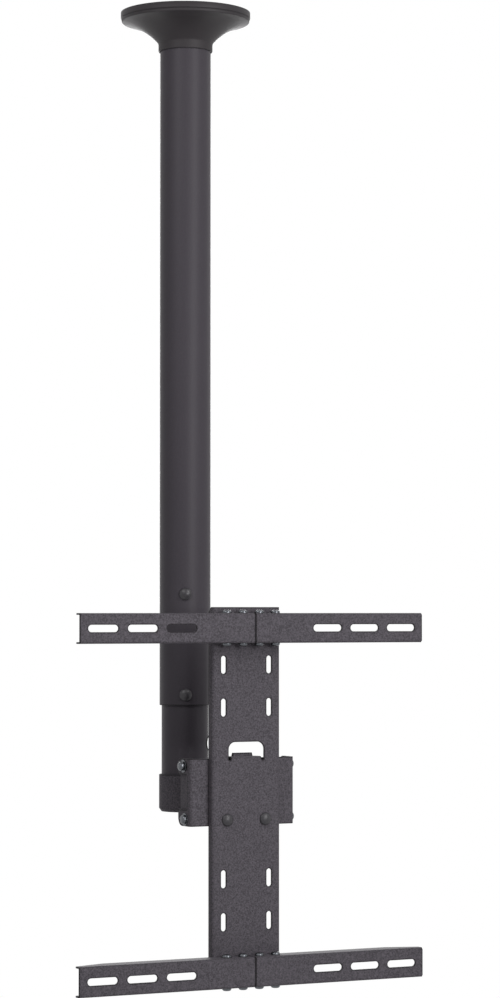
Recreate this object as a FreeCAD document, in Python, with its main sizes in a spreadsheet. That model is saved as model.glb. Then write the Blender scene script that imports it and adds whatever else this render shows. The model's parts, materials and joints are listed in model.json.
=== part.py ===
import FreeCAD, Part
import math
import os

import Sketcher

# A ceiling mount for a screen: a plate and a pole under the ceiling, a second
# pole that slides in the first, and a swivelling, tilting head with four slotted
# arms. Millimetres. The origin is on the poles' axis at the ceiling, +Z is up and
# the screen side faces -Y. A "drop" is a distance below the ceiling and a "reach"
# is a distance in front of the poles' axis.

SIZES = {
    # Ceiling plate and the socket under it
    "plate_dia": 140,
    "plate_gauge": 4,
    "plate_hole_inset": 15,
    "plate_hole_dia": 9,
    "plate_hole_count": 4,
    "cable_way_dia": 40,
    "socket_length": 60,
    "socket_wall": 2.5,
    "slip_gap": 0.05,
    "lock_screw_drop": 18,
    "lock_screw_dia": 6,
    "lock_screw_head_dia": 10,
    "lock_screw_head": 2.8,
    "lock_screw_count": 4,
    # Outer pole and the two bolts that clamp the inner pole at its height
    "pole_dia": 62,
    "pole_wall": 2,
    "pole_length": 845,
    "pole_turn": -25,
    "bolt_inset": 13,
    "bolt_spacing": 122,
    "bolt_dia": 8,
    "bolt_head_dia": 15,
    "bolt_head": 4.6,
    "bolt_head_rim": 1.2,
    "bolt_hole_gap": 0.15,
    "clamp_width": 16,
    "clamp_depth": 8,
    "clamp_overhang": 12,
    "clamp_gap": 0.3,
    # Canopy that hides the ceiling plate
    "canopy_side_gap": 6.5,
    "canopy_wall": 2,
    "canopy_rim": 7.3,
    "canopy_groove": 1,
    "canopy_groove_depth": 1.4,
    "canopy_band_step": 1,
    "canopy_band": 2.7,
    "canopy_sweep_radius": 76,
    "canopy_bell": 26.8,
    "canopy_neck_wall": 1.5,
    "canopy_neck_length": 10.2,
    "grip_gauge": 0.6,
    "grip_gap": 0.1,
    "grip_top_inset": 1.2,
    "grip_inset": 1,
    # Inner pole
    "inner_gap": 0.5,
    "inner_wall": 2,
    "inner_shown": 120,
    "travel": 480,
    "height_slot_gap": 0.5,
    "height_slot_margin": 30,
    "cable_hole_width": 24,
    "cable_hole_height": 18,
    "cable_hole_rise": 37.5,
    "grommet_wall": 1.2,
    "grommet_lip": 0.6,
    "cap_flange": 3,
    "cap_plug": 10,
    "glide_gap": 0.1,
    "end_plug": 11.5,
    # Swivel
    "sleeve_wall": 2,
    "sleeve_height": 45,
    "sleeve_floor": 6,
    "sleeve_edge_width": 3,
    "sleeve_edge_height": 4,
    "sleeve_lip_round": 0.8,
    "running_gap": 0.05,
    "bush_gauge": 0.95,
    "bush_recess": 1,
    "thrust_gauge": 3,
    "thrust_inset": 0.5,
    "swivel_bolt_dia": 10,
    "swivel_bolt_head_dia": 20,
    "swivel_key": 6,
    "swivel_key_depth": 3,
    "swivel_washer_dia": 28,
    "swivel_washer_gauge": 2,
    "swivel_nut_width": 16,
    "swivel_nut": 8,
    "bolt_end": 2,
    "boom_width": 30,
    "boom_height": 40,
    "boom_wall": 2.5,
    "boom_length": 86.5,
    "boom_rise": 23,
    # Swivel bracket, inside the tilt bracket
    "swivel_gauge": 2.5,
    "swivel_bend": 4,
    "swivel_top_step": 2,
    "swivel_front_gap": 3.5,
    "swivel_slant": 4.5,
    "bracket_side_gap": 0.3,
    # Tilt bracket
    "tilt_rear_gap": 0.5,
    "tilt_depth": 31,
    "tilt_width": 138,
    "tilt_gauge": 3,
    "tilt_bend": 4.5,
    "tilt_foot": 31,
    "tilt_height": 79,
    "ear_height": 19,
    "foot_height": 19,
    "notch_rail": 7.6,
    "notch_round": 2.5,
    "ear_upper_round": 7,
    "ear_lower_round": 10,
    "tongue_width": 28,
    "tongue_rise": 6,
    "tongue_slant": 1.5,
    # Tilt pivot, tilt lock and their range
    "pivot_inset": 13,
    "pivot_rise": 8,
    "lock_inset": 16.5,
    "lock_depth": 9,
    "tilt_up": 5,
    "tilt_down": 8,
    "tilt_bolt_dia": 6,
    "tilt_bolt_head_dia": 11,
    "tilt_bolt_head": 4,
    "tilt_bolt_edge": 1.3,
    "tilt_washer_dia": 15,
    "tilt_washer_gauge": 1,
    "spring_washer_dia": 10,
    "spring_washer_gauge": 1.6,
    "spring_washer_split": 1,
    "lock_slot_gap": 0.3,
    "tilt_nut_width": 10,
    "tilt_nut": 5,
    "cross_width": 1.2,
    "cross_length": 5.4,
    "cross_depth": 1.8,
    # Backbone
    "backbone_gauge": 2,
    "backbone_width": 90,
    "backbone_bend": 4,
    "backbone_above": 7,
    "backbone_corner": 6,
    "backbone_slot_width": 6.5,
    "backbone_slot_length": 21,
    "backbone_slot_inset": 15,
    "backbone_slot_first": 100,
    "backbone_slot_second": 150,
    "backbone_slot_rise": 7,
    "window_side_gap": 3.25,
    "window_rise": 19,
    "window_round": 8.5,
    "window_relief": 1.5,
    "flap_side": 6,
    "flap_tail": 4,
    "flap_bend": 3,
    "flap_round": 7,
    "flap_slot_gap": 0.5,
    "dome_inset": 20,
    "dome_rise": 7.4,
    "spacer_dia": 14,
    "spacer_length": 8,
    "dome_nut_width": 13,
    "dome_nut": 5.5,
    # Arms
    "arm_depth": 24,
    "arm_gauge": 2,
    "arm_height": 35,
    "arm_bend": 2.5,
    "arm_span": 451,
    "arm_joint_gap": 0.6,
    "arm_taper_length": 40,
    "arm_taper_depth": 14,
    "arm_corner": 2.5,
    "arm_slot_length": 38,
    "arm_slot_width": 8.4,
    "arm_slot_pitch": 50,
    "arm_slot_count": 3,
    "arm_end_margin": 10.5,
    "arm_rise": 152.5,
    "arm_spacing": 400,
    "carrier_inset": 1,
    "carrier_gap": 2,
    "carrier_gauge": 2.5,
    "carrier_bend": 3,
    "arm_screw_spread": 64,
    "arm_screw_count": 4,
    "arm_screw_dia": 5,
    "arm_screw_head_dia": 11,
    "arm_screw_head": 3.6,
    "arm_screw_edge": 1.2,
    "arm_screw_end": 3,
}

NEAR = 0.01
UPRIGHT = FreeCAD.Vector(0, 0, 1)

doc = FreeCAD.newDocument("tv_ceiling_mount")
sheet = doc.addObject("Spreadsheet::Sheet", "dim")
for row, (word, size) in enumerate(SIZES.items(), 1):
    sheet.set(f"A{row}", str(size))
    sheet.setAlias(f"A{row}", word)
doc.recompute()

NODES = []

# What follows from the sizes: each level and reach hangs on the piece before it,
# down the poles to the cup, forward along the boom, and out to the arms.

POLE_R = "(dim.pole_dia / 2)"
POLE_BORE = f"({POLE_R} - dim.pole_wall)"
POLE_DROP = "(dim.plate_gauge + dim.pole_length)"
LOWER_BOLT_DROP = f"({POLE_DROP} - dim.bolt_inset)"
UPPER_BOLT_DROP = f"({LOWER_BOLT_DROP} - dim.bolt_spacing)"
CANOPY_R = "(dim.plate_dia / 2 + dim.canopy_side_gap + dim.canopy_wall + dim.canopy_band_step)"
BAND_DROP = "(dim.canopy_rim + dim.canopy_groove + dim.canopy_band)"
NECK_TOP = f"({BAND_DROP} + dim.canopy_bell)"
NECK_R = f"({POLE_R} + dim.grip_gap + dim.grip_gauge + dim.canopy_neck_wall)"
CANOPY_DROP = f"({NECK_TOP} + dim.canopy_neck_length)"
INNER_R = f"({POLE_BORE} - dim.inner_gap)"
INNER_BORE = f"({INNER_R} - dim.inner_wall)"
INNER_DROP = f"({POLE_DROP} + dim.inner_shown)"
INNER_TOP = f"({UPPER_BOLT_DROP} - dim.travel - dim.height_slot_margin)"
FLOOR_DROP = f"({INNER_DROP} + dim.thrust_gauge)"
SLEEVE_R = f"({INNER_R} + dim.running_gap + dim.bush_gauge + dim.sleeve_wall)"
SLEEVE_DROP = f"({FLOOR_DROP} + dim.sleeve_floor)"
SLEEVE_TOP = f"({SLEEVE_DROP} - dim.sleeve_height)"
CABLE_HOLE_DROP = f"({SLEEVE_TOP} - dim.cable_hole_rise)"
BOOM_DROP = f"({SLEEVE_DROP} - dim.boom_rise)"
WEB_REACH = f"({SLEEVE_R} + dim.boom_length + dim.swivel_gauge)"
TILT_REAR = f"({WEB_REACH} + dim.tilt_rear_gap)"
TILT_FRONT = f"({TILT_REAR} + dim.tilt_depth)"
TILT_DROP = f"({BOOM_DROP} + dim.tilt_foot)"
TILT_TOP = f"({TILT_DROP} - dim.tilt_height)"
SWIVEL_TOP = f"({TILT_TOP} + dim.swivel_top_step)"
SWIVEL_FRONT = f"({TILT_FRONT} - dim.tilt_gauge - dim.swivel_front_gap)"
SWIVEL_TOP_REACH = f"({SWIVEL_FRONT} - dim.swivel_slant)"
NOTCH_TOP = f"({TILT_TOP} + dim.ear_height)"
NOTCH_DROP = f"({TILT_DROP} - dim.foot_height)"
PIVOT_REACH = f"({TILT_FRONT} - dim.pivot_inset)"
PIVOT_DROP = f"({TILT_DROP} - dim.pivot_rise)"
LOCK_REACH = f"({TILT_FRONT} - dim.lock_inset)"
LOCK_DROP = f"({TILT_TOP} + dim.lock_depth)"
DOME_DROP = f"({TILT_DROP} - dim.dome_rise)"
BACK_REACH = f"({TILT_FRONT} + dim.spacer_length + dim.backbone_gauge)"
BACK_HALF = "(dim.backbone_width / 2)"
DOME_SIDE = f"({BACK_HALF} - dim.dome_inset)"
SLOT_SIDE = f"({BACK_HALF} - dim.backbone_slot_inset)"
FLAP_WIDTH = "(dim.tongue_width + 2 * dim.flap_side)"
WINDOW_WIDTH = f"({FLAP_WIDTH} + 2 * dim.window_side_gap)"
WINDOW_TOP = f"({TILT_TOP} - dim.window_rise)"
UPPER_ARM_DROP = f"({TILT_TOP} - dim.arm_rise)"
LOWER_ARM_DROP = f"({UPPER_ARM_DROP} + dim.arm_spacing)"
BACK_TOP = f"({UPPER_ARM_DROP} - dim.arm_height / 2 - dim.backbone_above)"
BACK_DROP = f"({LOWER_ARM_DROP} + dim.arm_height / 2)"
SLOT_MIDDLE = f"({UPPER_ARM_DROP} + dim.arm_spacing / 2 - dim.backbone_slot_rise)"
ARM_REACH = f"({BACK_REACH} + dim.arm_depth)"
ARM_END = "(dim.arm_span / 2)"
LAST_SLOT = f"({ARM_END} - dim.arm_end_margin - dim.arm_slot_length / 2)"
FIRST_SLOT = f"({LAST_SLOT} - dim.arm_slot_pitch * (dim.arm_slot_count - 1))"
SCREW_REACH = f"({BACK_REACH} + dim.arm_depth / 2)"


# Bodies, sketches and features. A size is given as an expression on the sheet.


def value(size):
    """The number that an expression gives."""
    return float(sheet.evalExpression(size))


def new_body(label):
    body = doc.addObject("PartDesign::Body", label)
    body.Label = label
    body.AllowCompound = True
    NODES.append(body)
    return body


def place(body, x="0", y="0", z="0", axis=UPRIGHT, turn="0"):
    """Turns a body about an axis through its origin, then moves it."""
    body.Placement = FreeCAD.Placement(
        FreeCAD.Vector(value(x), value(y), value(z)), FreeCAD.Rotation(axis, value(turn))
    )
    body.setExpression("Placement.Base.x", x)
    body.setExpression("Placement.Base.y", y)
    body.setExpression("Placement.Base.z", z)
    body.setExpression("Placement.Rotation.Angle", turn)


def origin_part(body, role):
    return next(item for item in body.Origin.OriginFeatures if item.Role == role)


def new_sketch(body, name, plane, offset="0"):
    """A sketch on one of the body's own planes, moved along the plane's normal."""
    sketch = body.newObject("Sketcher::SketchObject", name)
    sketch.AttachmentSupport = (origin_part(body, plane + "_Plane"), [""])
    sketch.MapMode = "FlatFace"
    sketch.setExpression("AttachmentOffset.Base.z", offset)
    return sketch


def pin(sketch, edge, end, across, up):
    """Ties a point to its two distances from the sketch's origin."""
    for kind, size in (("DistanceX", across), ("DistanceY", up)):
        rule = Sketcher.Constraint(kind, -1, 1, edge, end, value(size))
        index = sketch.addConstraint(rule)
        sketch.setExpression(f"Constraints[{index}]", size)


def set_radius(sketch, edge, radius):
    index = sketch.addConstraint(Sketcher.Constraint("Radius", edge, value(radius)))
    sketch.setExpression(f"Constraints[{index}]", radius)


def outline(sketch, corners, arcs=None):
    """A closed outline. arcs gives the radius of the edges that are bowed, and
    +1 where the edge bows to the left of its run or -1 to the right."""
    arcs = arcs or {}
    points = [FreeCAD.Vector(value(across), value(up), 0) for across, up in corners]
    first = sketch.GeometryCount
    ends = []
    for k, start in enumerate(points):
        end = points[(k + 1) % len(points)]
        if k in arcs:
            radius, side = arcs[k]
            run = end - start
            left = FreeCAD.Vector(-run.y, run.x, 0).normalize()
            rise = value(radius) - math.sqrt(value(radius) ** 2 - run.Length**2 / 4)
            sketch.addGeometry(Part.Arc(start, (start + end) / 2 + left * side * rise, end))
        else:
            sketch.addGeometry(Part.LineSegment(start, end))
        forward = sketch.getPoint(first + k, 1).distanceToPoint(start) < NEAR
        ends.append((1, 2) if forward else (2, 1))
    for k, (across, up) in enumerate(corners):
        after = (k + 1) % len(points)
        joint = (first + k, ends[k][1], first + after, ends[after][0])
        sketch.addConstraint(Sketcher.Constraint("Coincident", *joint))
        pin(sketch, first + k, ends[k][0], across, up)
        if k in arcs:
            set_radius(sketch, first + k, arcs[k][0])


def rectangle(sketch, left, right, low, high):
    outline(sketch, [(left, low), (right, low), (right, high), (left, high)])


def circle(sketch, radius, across="0", up="0"):
    centre = FreeCAD.Vector(value(across), value(up), 0)
    edge = sketch.addGeometry(Part.Circle(centre, FreeCAD.Vector(0, 0, 1), value(radius)))
    pin(sketch, edge, 3, across, up)
    set_radius(sketch, edge, radius)


def slot(sketch, start, end, radius):
    """A round-ended slot between two centres."""
    size = value(radius)
    a = FreeCAD.Vector(value(start[0]), value(start[1]), 0)
    b = FreeCAD.Vector(value(end[0]), value(end[1]), 0)
    along = (b - a).normalize() * size
    left = FreeCAD.Vector(-along.y, along.x, 0)
    first = sketch.GeometryCount
    sketch.addGeometry(Part.Arc(a + left, a - along, a - left))
    sketch.addGeometry(Part.LineSegment(a - left, b - left))
    sketch.addGeometry(Part.Arc(b - left, b + along, b + left))
    sketch.addGeometry(Part.LineSegment(b + left, a + left))
    for k in range(4):
        joint = (first + k, 2, first + (k + 1) % 4, 1)
        sketch.addConstraint(Sketcher.Constraint("Tangent", *joint))
    sketch.addConstraint(Sketcher.Constraint("Equal", first, first + 2))
    pin(sketch, first, 3, *start)
    pin(sketch, first + 2, 3, *end)
    set_radius(sketch, first, radius)


def hexagon(sketch, width, across="0", up="0"):
    half = f"({width}) / 2"
    tip = f"({width}) / sqrt(3)"
    level = f"({width}) / sqrt(12)"
    corners = [("0", tip), (half, level), (half, f"-{level}")]
    corners += [("0", f"-{tip}"), (f"-{half}", f"-{level}"), (f"-{half}", level)]
    outline(sketch, [(f"{across} + {a}", f"{up} + {b}") for a, b in corners])


def tip_volume(body):
    return body.Tip.Shape.Volume if body.Tip else 0


def grown(body, feature, sign, before):
    """Rebuilds the body and makes sure that a feature added or took material."""
    body.Tip = feature
    doc.recompute()
    change = feature.Shape.Volume - before
    if change * sign <= 0:
        raise RuntimeError(f"{feature.Name} of {body.Label} changed {change:.3f} mm3")
    return feature


def from_sketch(body, kind, sketch, sign, **sizes):
    before = tip_volume(body)
    feature = body.newObject("PartDesign::" + kind, f"{sketch.Name}_{kind.lower()}")
    feature.Profile = sketch
    for name, size in sizes.items():
        feature.setExpression(name, size)
    if kind in ("Revolution", "Groove"):
        feature.ReferenceAxis = (sketch, ["V_Axis"])
    return grown(body, feature, sign, before)


def pad(body, sketch, length):
    return from_sketch(body, "Pad", sketch, 1, Length=length)


def pocket(body, sketch, depth):
    return from_sketch(body, "Pocket", sketch, -1, Length=depth)


def turned(body, sketch):
    """A solid turned about the sketch's upright axis."""
    return from_sketch(body, "Revolution", sketch, 1, Angle="360")


def repeat_round(body, feature, count, sign):
    before = tip_volume(body)
    pattern = body.newObject("PartDesign::PolarPattern", feature.Name + "_round")
    pattern.Originals = [feature]
    pattern.Axis = (origin_part(body, "Z_Axis"), [""])
    pattern.Angle = 360
    pattern.setExpression("Occurrences", count)
    return grown(body, pattern, sign, before)


def repeat_along(body, features, axis, length, count, sign):
    before = tip_volume(body)
    pattern = body.newObject("PartDesign::LinearPattern", features[0].Name + "_row")
    pattern.Originals = features
    pattern.Direction = (origin_part(body, axis + "_Axis"), [""])
    pattern.setExpression("Length", length)
    pattern.setExpression("Occurrences", count)
    return grown(body, pattern, sign, before)


def at(edge, x=None, y=None, z=None):
    """True where an edge lies wholly at the places given."""
    box = edge.BoundBox
    spans = ((box.XMin, box.XMax, x), (box.YMin, box.YMax, y), (box.ZMin, box.ZMax, z))
    for low, high, wanted in spans:
        if wanted is not None:
            if abs(low - value(wanted)) > NEAR or abs(high - value(wanted)) > NEAR:
                return False
    return True


def round_edges(body, radius, *places):
    """Rounds the edges that lie at the places given."""
    base = body.Tip
    chosen = []
    for number, edge in enumerate(base.Shape.Edges, 1):
        if any(at(edge, **spot) for spot in places):
            chosen.append(f"Edge{number}")
    if not chosen:
        raise RuntimeError(f"no edge to round on {body.Label}")
    fillet = body.newObject("PartDesign::Fillet", body.Label + "_round")
    fillet.Base = (base, chosen)
    fillet.setExpression("Radius", radius)
    body.Tip = fillet
    doc.recompute()


def tube(label, outer, inner, drop, length):
    """A ring or tube about the poles' axis, standing on its lower end."""
    body = new_body(label)
    sketch = new_sketch(body, label + "_section", "XY", f"-({drop})")
    circle(sketch, outer)
    circle(sketch, inner)
    pad(body, sketch, length)
    return body


def side_hole(body, name, radius, drops, wall_radius):
    """Round holes through the front wall of a tube, one at each drop."""
    sketch = new_sketch(body, name, "XZ", wall_radius)
    for drop in drops:
        circle(sketch, radius, "0", f"-({drop})")
    return pocket(body, sketch, wall_radius)


# Ceiling plate: a pressed steel disc with four screw holes and a cable way.

SOCKET_R = f"({POLE_BORE} - dim.slip_gap)"
LOCK_R = "dim.lock_screw_dia / 2"


def ceiling_plate():
    body = tube(
        "ceiling_plate",
        "dim.plate_dia / 2",
        "dim.cable_way_dia / 2",
        "dim.plate_gauge",
        "dim.plate_gauge",
    )
    sketch = new_sketch(body, "plate_hole", "XY")
    circle(sketch, "dim.plate_hole_dia / 2", "dim.plate_dia / 2 - dim.plate_hole_inset", "0")
    hole = pocket(body, sketch, "dim.plate_gauge")
    repeat_round(body, hole, "dim.plate_hole_count", -1)


# Socket: a short tube welded under the plate. The pole slips over it and is
# held by four screws under the canopy.


def pole_socket():
    drop = "dim.plate_gauge + dim.socket_length"
    wall = f"{SOCKET_R} - dim.socket_wall"
    body = tube("pole_socket", SOCKET_R, wall, drop, "dim.socket_length")
    hole = side_hole(body, "socket_hole", LOCK_R, ["dim.lock_screw_drop"], POLE_R)
    repeat_round(body, hole, "dim.lock_screw_count", -1)
    place(body, turn="dim.pole_turn")


def outer_pole():
    body = tube("outer_pole", POLE_R, POLE_BORE, POLE_DROP, "dim.pole_length")
    hole = side_hole(body, "lock_hole", LOCK_R, ["dim.lock_screw_drop"], POLE_R)
    repeat_round(body, hole, "dim.lock_screw_count", -1)
    radius = "dim.bolt_dia / 2 + dim.bolt_hole_gap"
    side_hole(body, "bolt_hole", radius, [UPPER_BOLT_DROP, LOWER_BOLT_DROP], POLE_R)
    place(body, turn="dim.pole_turn")


def pole_lock_screws():
    body = new_body("pole_lock_screws")
    sketch = new_sketch(body, "lock_screw", "XY", "-dim.lock_screw_drop")
    shank = f"{LOCK_R} - dim.slip_gap"
    tip = f"-({SOCKET_R} - dim.socket_wall)"
    head = "dim.lock_screw_head_dia / 2"
    crown = f"-({POLE_R} + dim.lock_screw_head)"
    corners = [("0", tip), (shank, tip), (shank, f"-{POLE_R}"), (head, f"-{POLE_R}")]
    corners += [(f"{head} - dim.lock_screw_head / 2", crown), ("0", crown)]
    outline(sketch, corners)
    screw = turned(body, sketch)
    repeat_round(body, screw, "dim.lock_screw_count", 1)
    place(body, turn="dim.pole_turn")


# Height bolts: black dome-headed bolts. They pass through the outer pole and the
# inner pole's slot into a steel bar, which pulls the inner pole against the outer.


def height_bolt(label, drop):
    body = new_body(label)
    head = "dim.bolt_head_dia / 2"
    seat = f"-({POLE_R} - dim.pole_wall / 2)"
    rim = f"-({POLE_R} + dim.bolt_head_rim)"
    crown = f"-({POLE_R} + dim.bolt_head)"
    rise = "(dim.bolt_head - dim.bolt_head_rim)"
    dome = f"(({head})^2 + {rise}^2) / (2 * {rise})"
    sketch = new_sketch(body, label + "_head", "XY")
    outline(sketch, [("0", seat), (head, seat), (head, rim), ("0", crown)], {2: (dome, 1)})
    turned(body, sketch)
    saddle = new_sketch(body, label + "_saddle", "XY", f"{head} + dim.bolt_head_rim")
    circle(saddle, POLE_R)
    pocket(body, saddle, f"{head} * 2 + dim.bolt_head_rim * 2")
    tip = f"{INNER_R} - dim.inner_wall - dim.clamp_gap - dim.clamp_depth - dim.bolt_end"
    shank = new_sketch(body, label + "_shank", "XZ", tip)
    circle(shank, "dim.bolt_dia / 2")
    pad(body, shank, f"{POLE_R} + dim.bolt_head_rim - ({tip})")
    place(body, z=f"-{drop}", turn="dim.pole_turn")


def clamp_bar():
    body = new_body("clamp_bar")
    bottom = f"{LOWER_BOLT_DROP} + dim.clamp_overhang"
    length = f"{LOWER_BOLT_DROP} - {UPPER_BOLT_DROP} + 2 * dim.clamp_overhang"
    face = f"({INNER_R} - dim.inner_wall - dim.clamp_gap)"
    half = "dim.clamp_width / 2"
    edge = f"-sqrt({face}^2 - ({half})^2)"
    back = f"-({face} - dim.clamp_depth)"
    sketch = new_sketch(body, "clamp_section", "XY", f"-({bottom})")
    corners = [(f"-{half}", edge), (half, edge), (half, back), (f"-{half}", back)]
    outline(sketch, corners, {0: (face, -1)})
    pad(body, sketch, length)
    radius = "dim.bolt_dia / 2 + dim.slip_gap"
    side_hole(body, "clamp_hole", radius, [UPPER_BOLT_DROP, LOWER_BOLT_DROP], face)
    place(body, turn="dim.pole_turn")


# Canopy: a thin moulded bell that slides on the pole and covers the plate.


def canopy_cover():
    body = new_body("canopy_cover")
    rim = CANOPY_R
    bore = f"{rim} - dim.canopy_wall - dim.canopy_band_step"
    groove = f"{rim} - dim.canopy_groove_depth"
    band = f"{rim} - dim.canopy_band_step"
    under_groove = "-(dim.canopy_rim + dim.canopy_groove)"
    neck = NECK_R
    inside = f"({NECK_R} - dim.canopy_neck_wall)"
    sweep = "dim.canopy_sweep_radius"
    inner_sweep = "dim.canopy_sweep_radius + dim.canopy_wall"
    neck_inside_top = f"-({NECK_TOP} - dim.canopy_neck_wall / 2)"
    band_inside = f"-({BAND_DROP} - dim.canopy_wall)"
    corners = [
        (rim, "0"),
        (rim, "-dim.canopy_rim"),
        (groove, "-dim.canopy_rim"),
        (groove, under_groove),
        (band, under_groove),
        (band, f"-{BAND_DROP}"),
        (neck, f"-{NECK_TOP}"),
        (neck, f"-{CANOPY_DROP}"),
        (inside, f"-{CANOPY_DROP}"),
        (inside, neck_inside_top),
        (bore, band_inside),
        (bore, "0"),
    ]
    sketch = new_sketch(body, "canopy_profile", "XZ")
    outline(sketch, corners, {5: (sweep, -1), 9: (inner_sweep, 1)})
    turned(body, sketch)


def canopy_grip_ring():
    tube(
        "canopy_grip_ring",
        f"{NECK_R} - dim.canopy_neck_wall",
        f"{POLE_R} + dim.grip_gap",
        f"{CANOPY_DROP} - dim.grip_inset",
        "dim.canopy_neck_length - dim.grip_top_inset - dim.grip_inset",
    )


# Inner pole: slides in the outer pole. Its front has a long slot for the height
# bolts and its side a hole where the screen's cables come out.

def cable_slot(sketch, inset):
    half = "(dim.cable_hole_width - dim.cable_hole_height) / 2"
    level = f"-{CABLE_HOLE_DROP}"
    radius = f"dim.cable_hole_height / 2 - {inset}"
    slot(sketch, (f"-{half}", level), (half, level), radius)


def inner_pole():
    length = f"{INNER_DROP} - {INNER_TOP}"
    body = tube("inner_pole", INNER_R, INNER_BORE, INNER_DROP, length)
    sketch = new_sketch(body, "height_slot", "XZ", INNER_R)
    top = f"-({UPPER_BOLT_DROP} - dim.travel)"
    slot(sketch, ("0", f"-{LOWER_BOLT_DROP}"), ("0", top), "dim.bolt_dia / 2 + dim.height_slot_gap")
    pocket(body, sketch, INNER_R)
    hole = new_sketch(body, "cable_hole", "YZ", INNER_R)
    cable_slot(hole, "0")
    pocket(body, hole, INNER_R)
    place(body, turn="dim.pole_turn")


def pole_top_cap():
    way = "dim.cable_way_dia / 2"
    flange = f"{POLE_BORE} - dim.glide_gap"
    body = tube("pole_top_cap", flange, way, INNER_TOP, "dim.cap_flange")
    drop = f"{INNER_TOP} + dim.cap_plug"
    plug = new_sketch(body, "cap_plug_section", "XY", f"-({drop})")
    circle(plug, f"{INNER_BORE} - dim.slip_gap")
    circle(plug, way)
    pad(body, plug, "dim.cap_plug")


def cable_grommet():
    body = new_body("cable_grommet")
    outside = f"({INNER_R} + dim.grommet_lip)"
    inside = f"({INNER_BORE} - dim.grommet_lip)"
    section = new_sketch(body, "grommet_section", "YZ", f"{inside} / 2")
    cable_slot(section, "dim.slip_gap")
    cable_slot(section, "dim.grommet_wall")
    pad(body, section, f"{outside} - {inside} / 2")
    top = f"-({CABLE_HOLE_DROP} - dim.cable_hole_height)"
    cuts = {"grommet_inside": [inside], "grommet_outside": [outside, "dim.pole_dia"]}
    for name, rings in cuts.items():
        cut = new_sketch(body, name, "XY", top)
        for radius in rings:
            circle(cut, radius)
        pocket(body, cut, "2 * dim.cable_hole_height")
    place(body, turn="dim.pole_turn")


def pole_end_plug():
    tube(
        "pole_end_plug",
        f"{INNER_BORE} - dim.slip_gap",
        "dim.swivel_bolt_dia / 2 + dim.running_gap",
        INNER_DROP,
        "dim.end_plug",
    )


# Swivel: a cup that turns on the inner pole's end in a plastic bush, and hangs on
# one bolt through the end plug. The nut sets how firmly it turns.

SLEEVE_BORE = f"({SLEEVE_R} - dim.sleeve_wall)"
SWIVEL_BORE = "(dim.swivel_bolt_dia / 2 + dim.slip_gap)"
PLUG_TOP_DROP = f"({INNER_DROP} - dim.end_plug)"
CONE_DEPTH = "(dim.swivel_bolt_head_dia / 2 - dim.swivel_bolt_dia / 2)"


def swivel_sleeve():
    body = new_body("swivel_sleeve")
    mouth = f"-{SLEEVE_DROP}"
    floor = f"-{FLOOR_DROP}"
    edge = f"{SLEEVE_R} - dim.sleeve_edge_width"
    cone_top = f"-({SLEEVE_DROP} - {CONE_DEPTH})"
    corners = [
        (SWIVEL_BORE, floor),
        (SLEEVE_BORE, floor),
        (SLEEVE_BORE, f"-{SLEEVE_TOP}"),
        (SLEEVE_R, f"-{SLEEVE_TOP}"),
        (SLEEVE_R, f"-({SLEEVE_DROP} - dim.sleeve_edge_height)"),
        (edge, mouth),
        (f"{SWIVEL_BORE} + {CONE_DEPTH}", mouth),
        (SWIVEL_BORE, cone_top),
    ]
    sketch = new_sketch(body, "sleeve_profile", "XZ")
    outline(sketch, corners)
    turned(body, sketch)
    lip = {"z": f"-{SLEEVE_TOP}"}
    base = body.Tip
    rims = [
        f"Edge{number}"
        for number, rim in enumerate(base.Shape.Edges, 1)
        if at(rim, **lip) and abs(rim.BoundBox.XMax - value(SLEEVE_R)) < NEAR
    ]
    fillet = body.newObject("PartDesign::Fillet", "sleeve_lip")
    fillet.Base = (base, rims)
    fillet.setExpression("Radius", "dim.sleeve_lip_round")
    body.Tip = fillet
    doc.recompute()


def swivel_bush():
    top = f"{SLEEVE_TOP} + dim.bush_recess"
    length = f"{FLOOR_DROP} - ({top})"
    tube("swivel_bush", SLEEVE_BORE, f"{INNER_R} + dim.running_gap", FLOOR_DROP, length)


def swivel_washers():
    tube("thrust_washer", f"{INNER_BORE} - dim.thrust_inset", SWIVEL_BORE, FLOOR_DROP, "dim.thrust_gauge")
    outer = "dim.swivel_washer_dia / 2"
    tube("friction_washer", outer, SWIVEL_BORE, PLUG_TOP_DROP, "dim.swivel_washer_gauge")


def swivel_nut():
    body = new_body("swivel_nut")
    seat = f"-{PLUG_TOP_DROP} + dim.swivel_washer_gauge"
    sketch = new_sketch(body, "swivel_nut_section", "XY", seat)
    hexagon(sketch, "dim.swivel_nut_width")
    circle(sketch, SWIVEL_BORE)
    pad(body, sketch, "dim.swivel_nut")


def swivel_bolt():
    body = new_body("swivel_bolt")
    shank = "dim.swivel_bolt_dia / 2"
    head = "dim.swivel_bolt_head_dia / 2"
    top = f"-{PLUG_TOP_DROP} + dim.swivel_washer_gauge + dim.swivel_nut + dim.bolt_end"
    cone_top = f"-({SLEEVE_DROP} - {CONE_DEPTH})"
    sketch = new_sketch(body, "swivel_bolt_profile", "XZ")
    corners = [("0", f"-{SLEEVE_DROP}"), (head, f"-{SLEEVE_DROP}"), (shank, cone_top)]
    outline(sketch, corners + [(shank, top), ("0", top)])
    turned(body, sketch)
    key = new_sketch(body, "swivel_key", "XY", f"-{SLEEVE_DROP} + dim.swivel_key_depth")
    hexagon(key, "dim.swivel_key")
    pocket(body, key, "dim.swivel_key_depth")


def boom_section(sketch, inset):
    half = f"(dim.boom_width / 2 - {inset})"
    rise = f"(dim.boom_height / 2 - {inset})"
    low = f"-{BOOM_DROP} - {rise}"
    high = f"-{BOOM_DROP} + {rise}"
    rectangle(sketch, f"-{half}", half, low, high)


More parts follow.
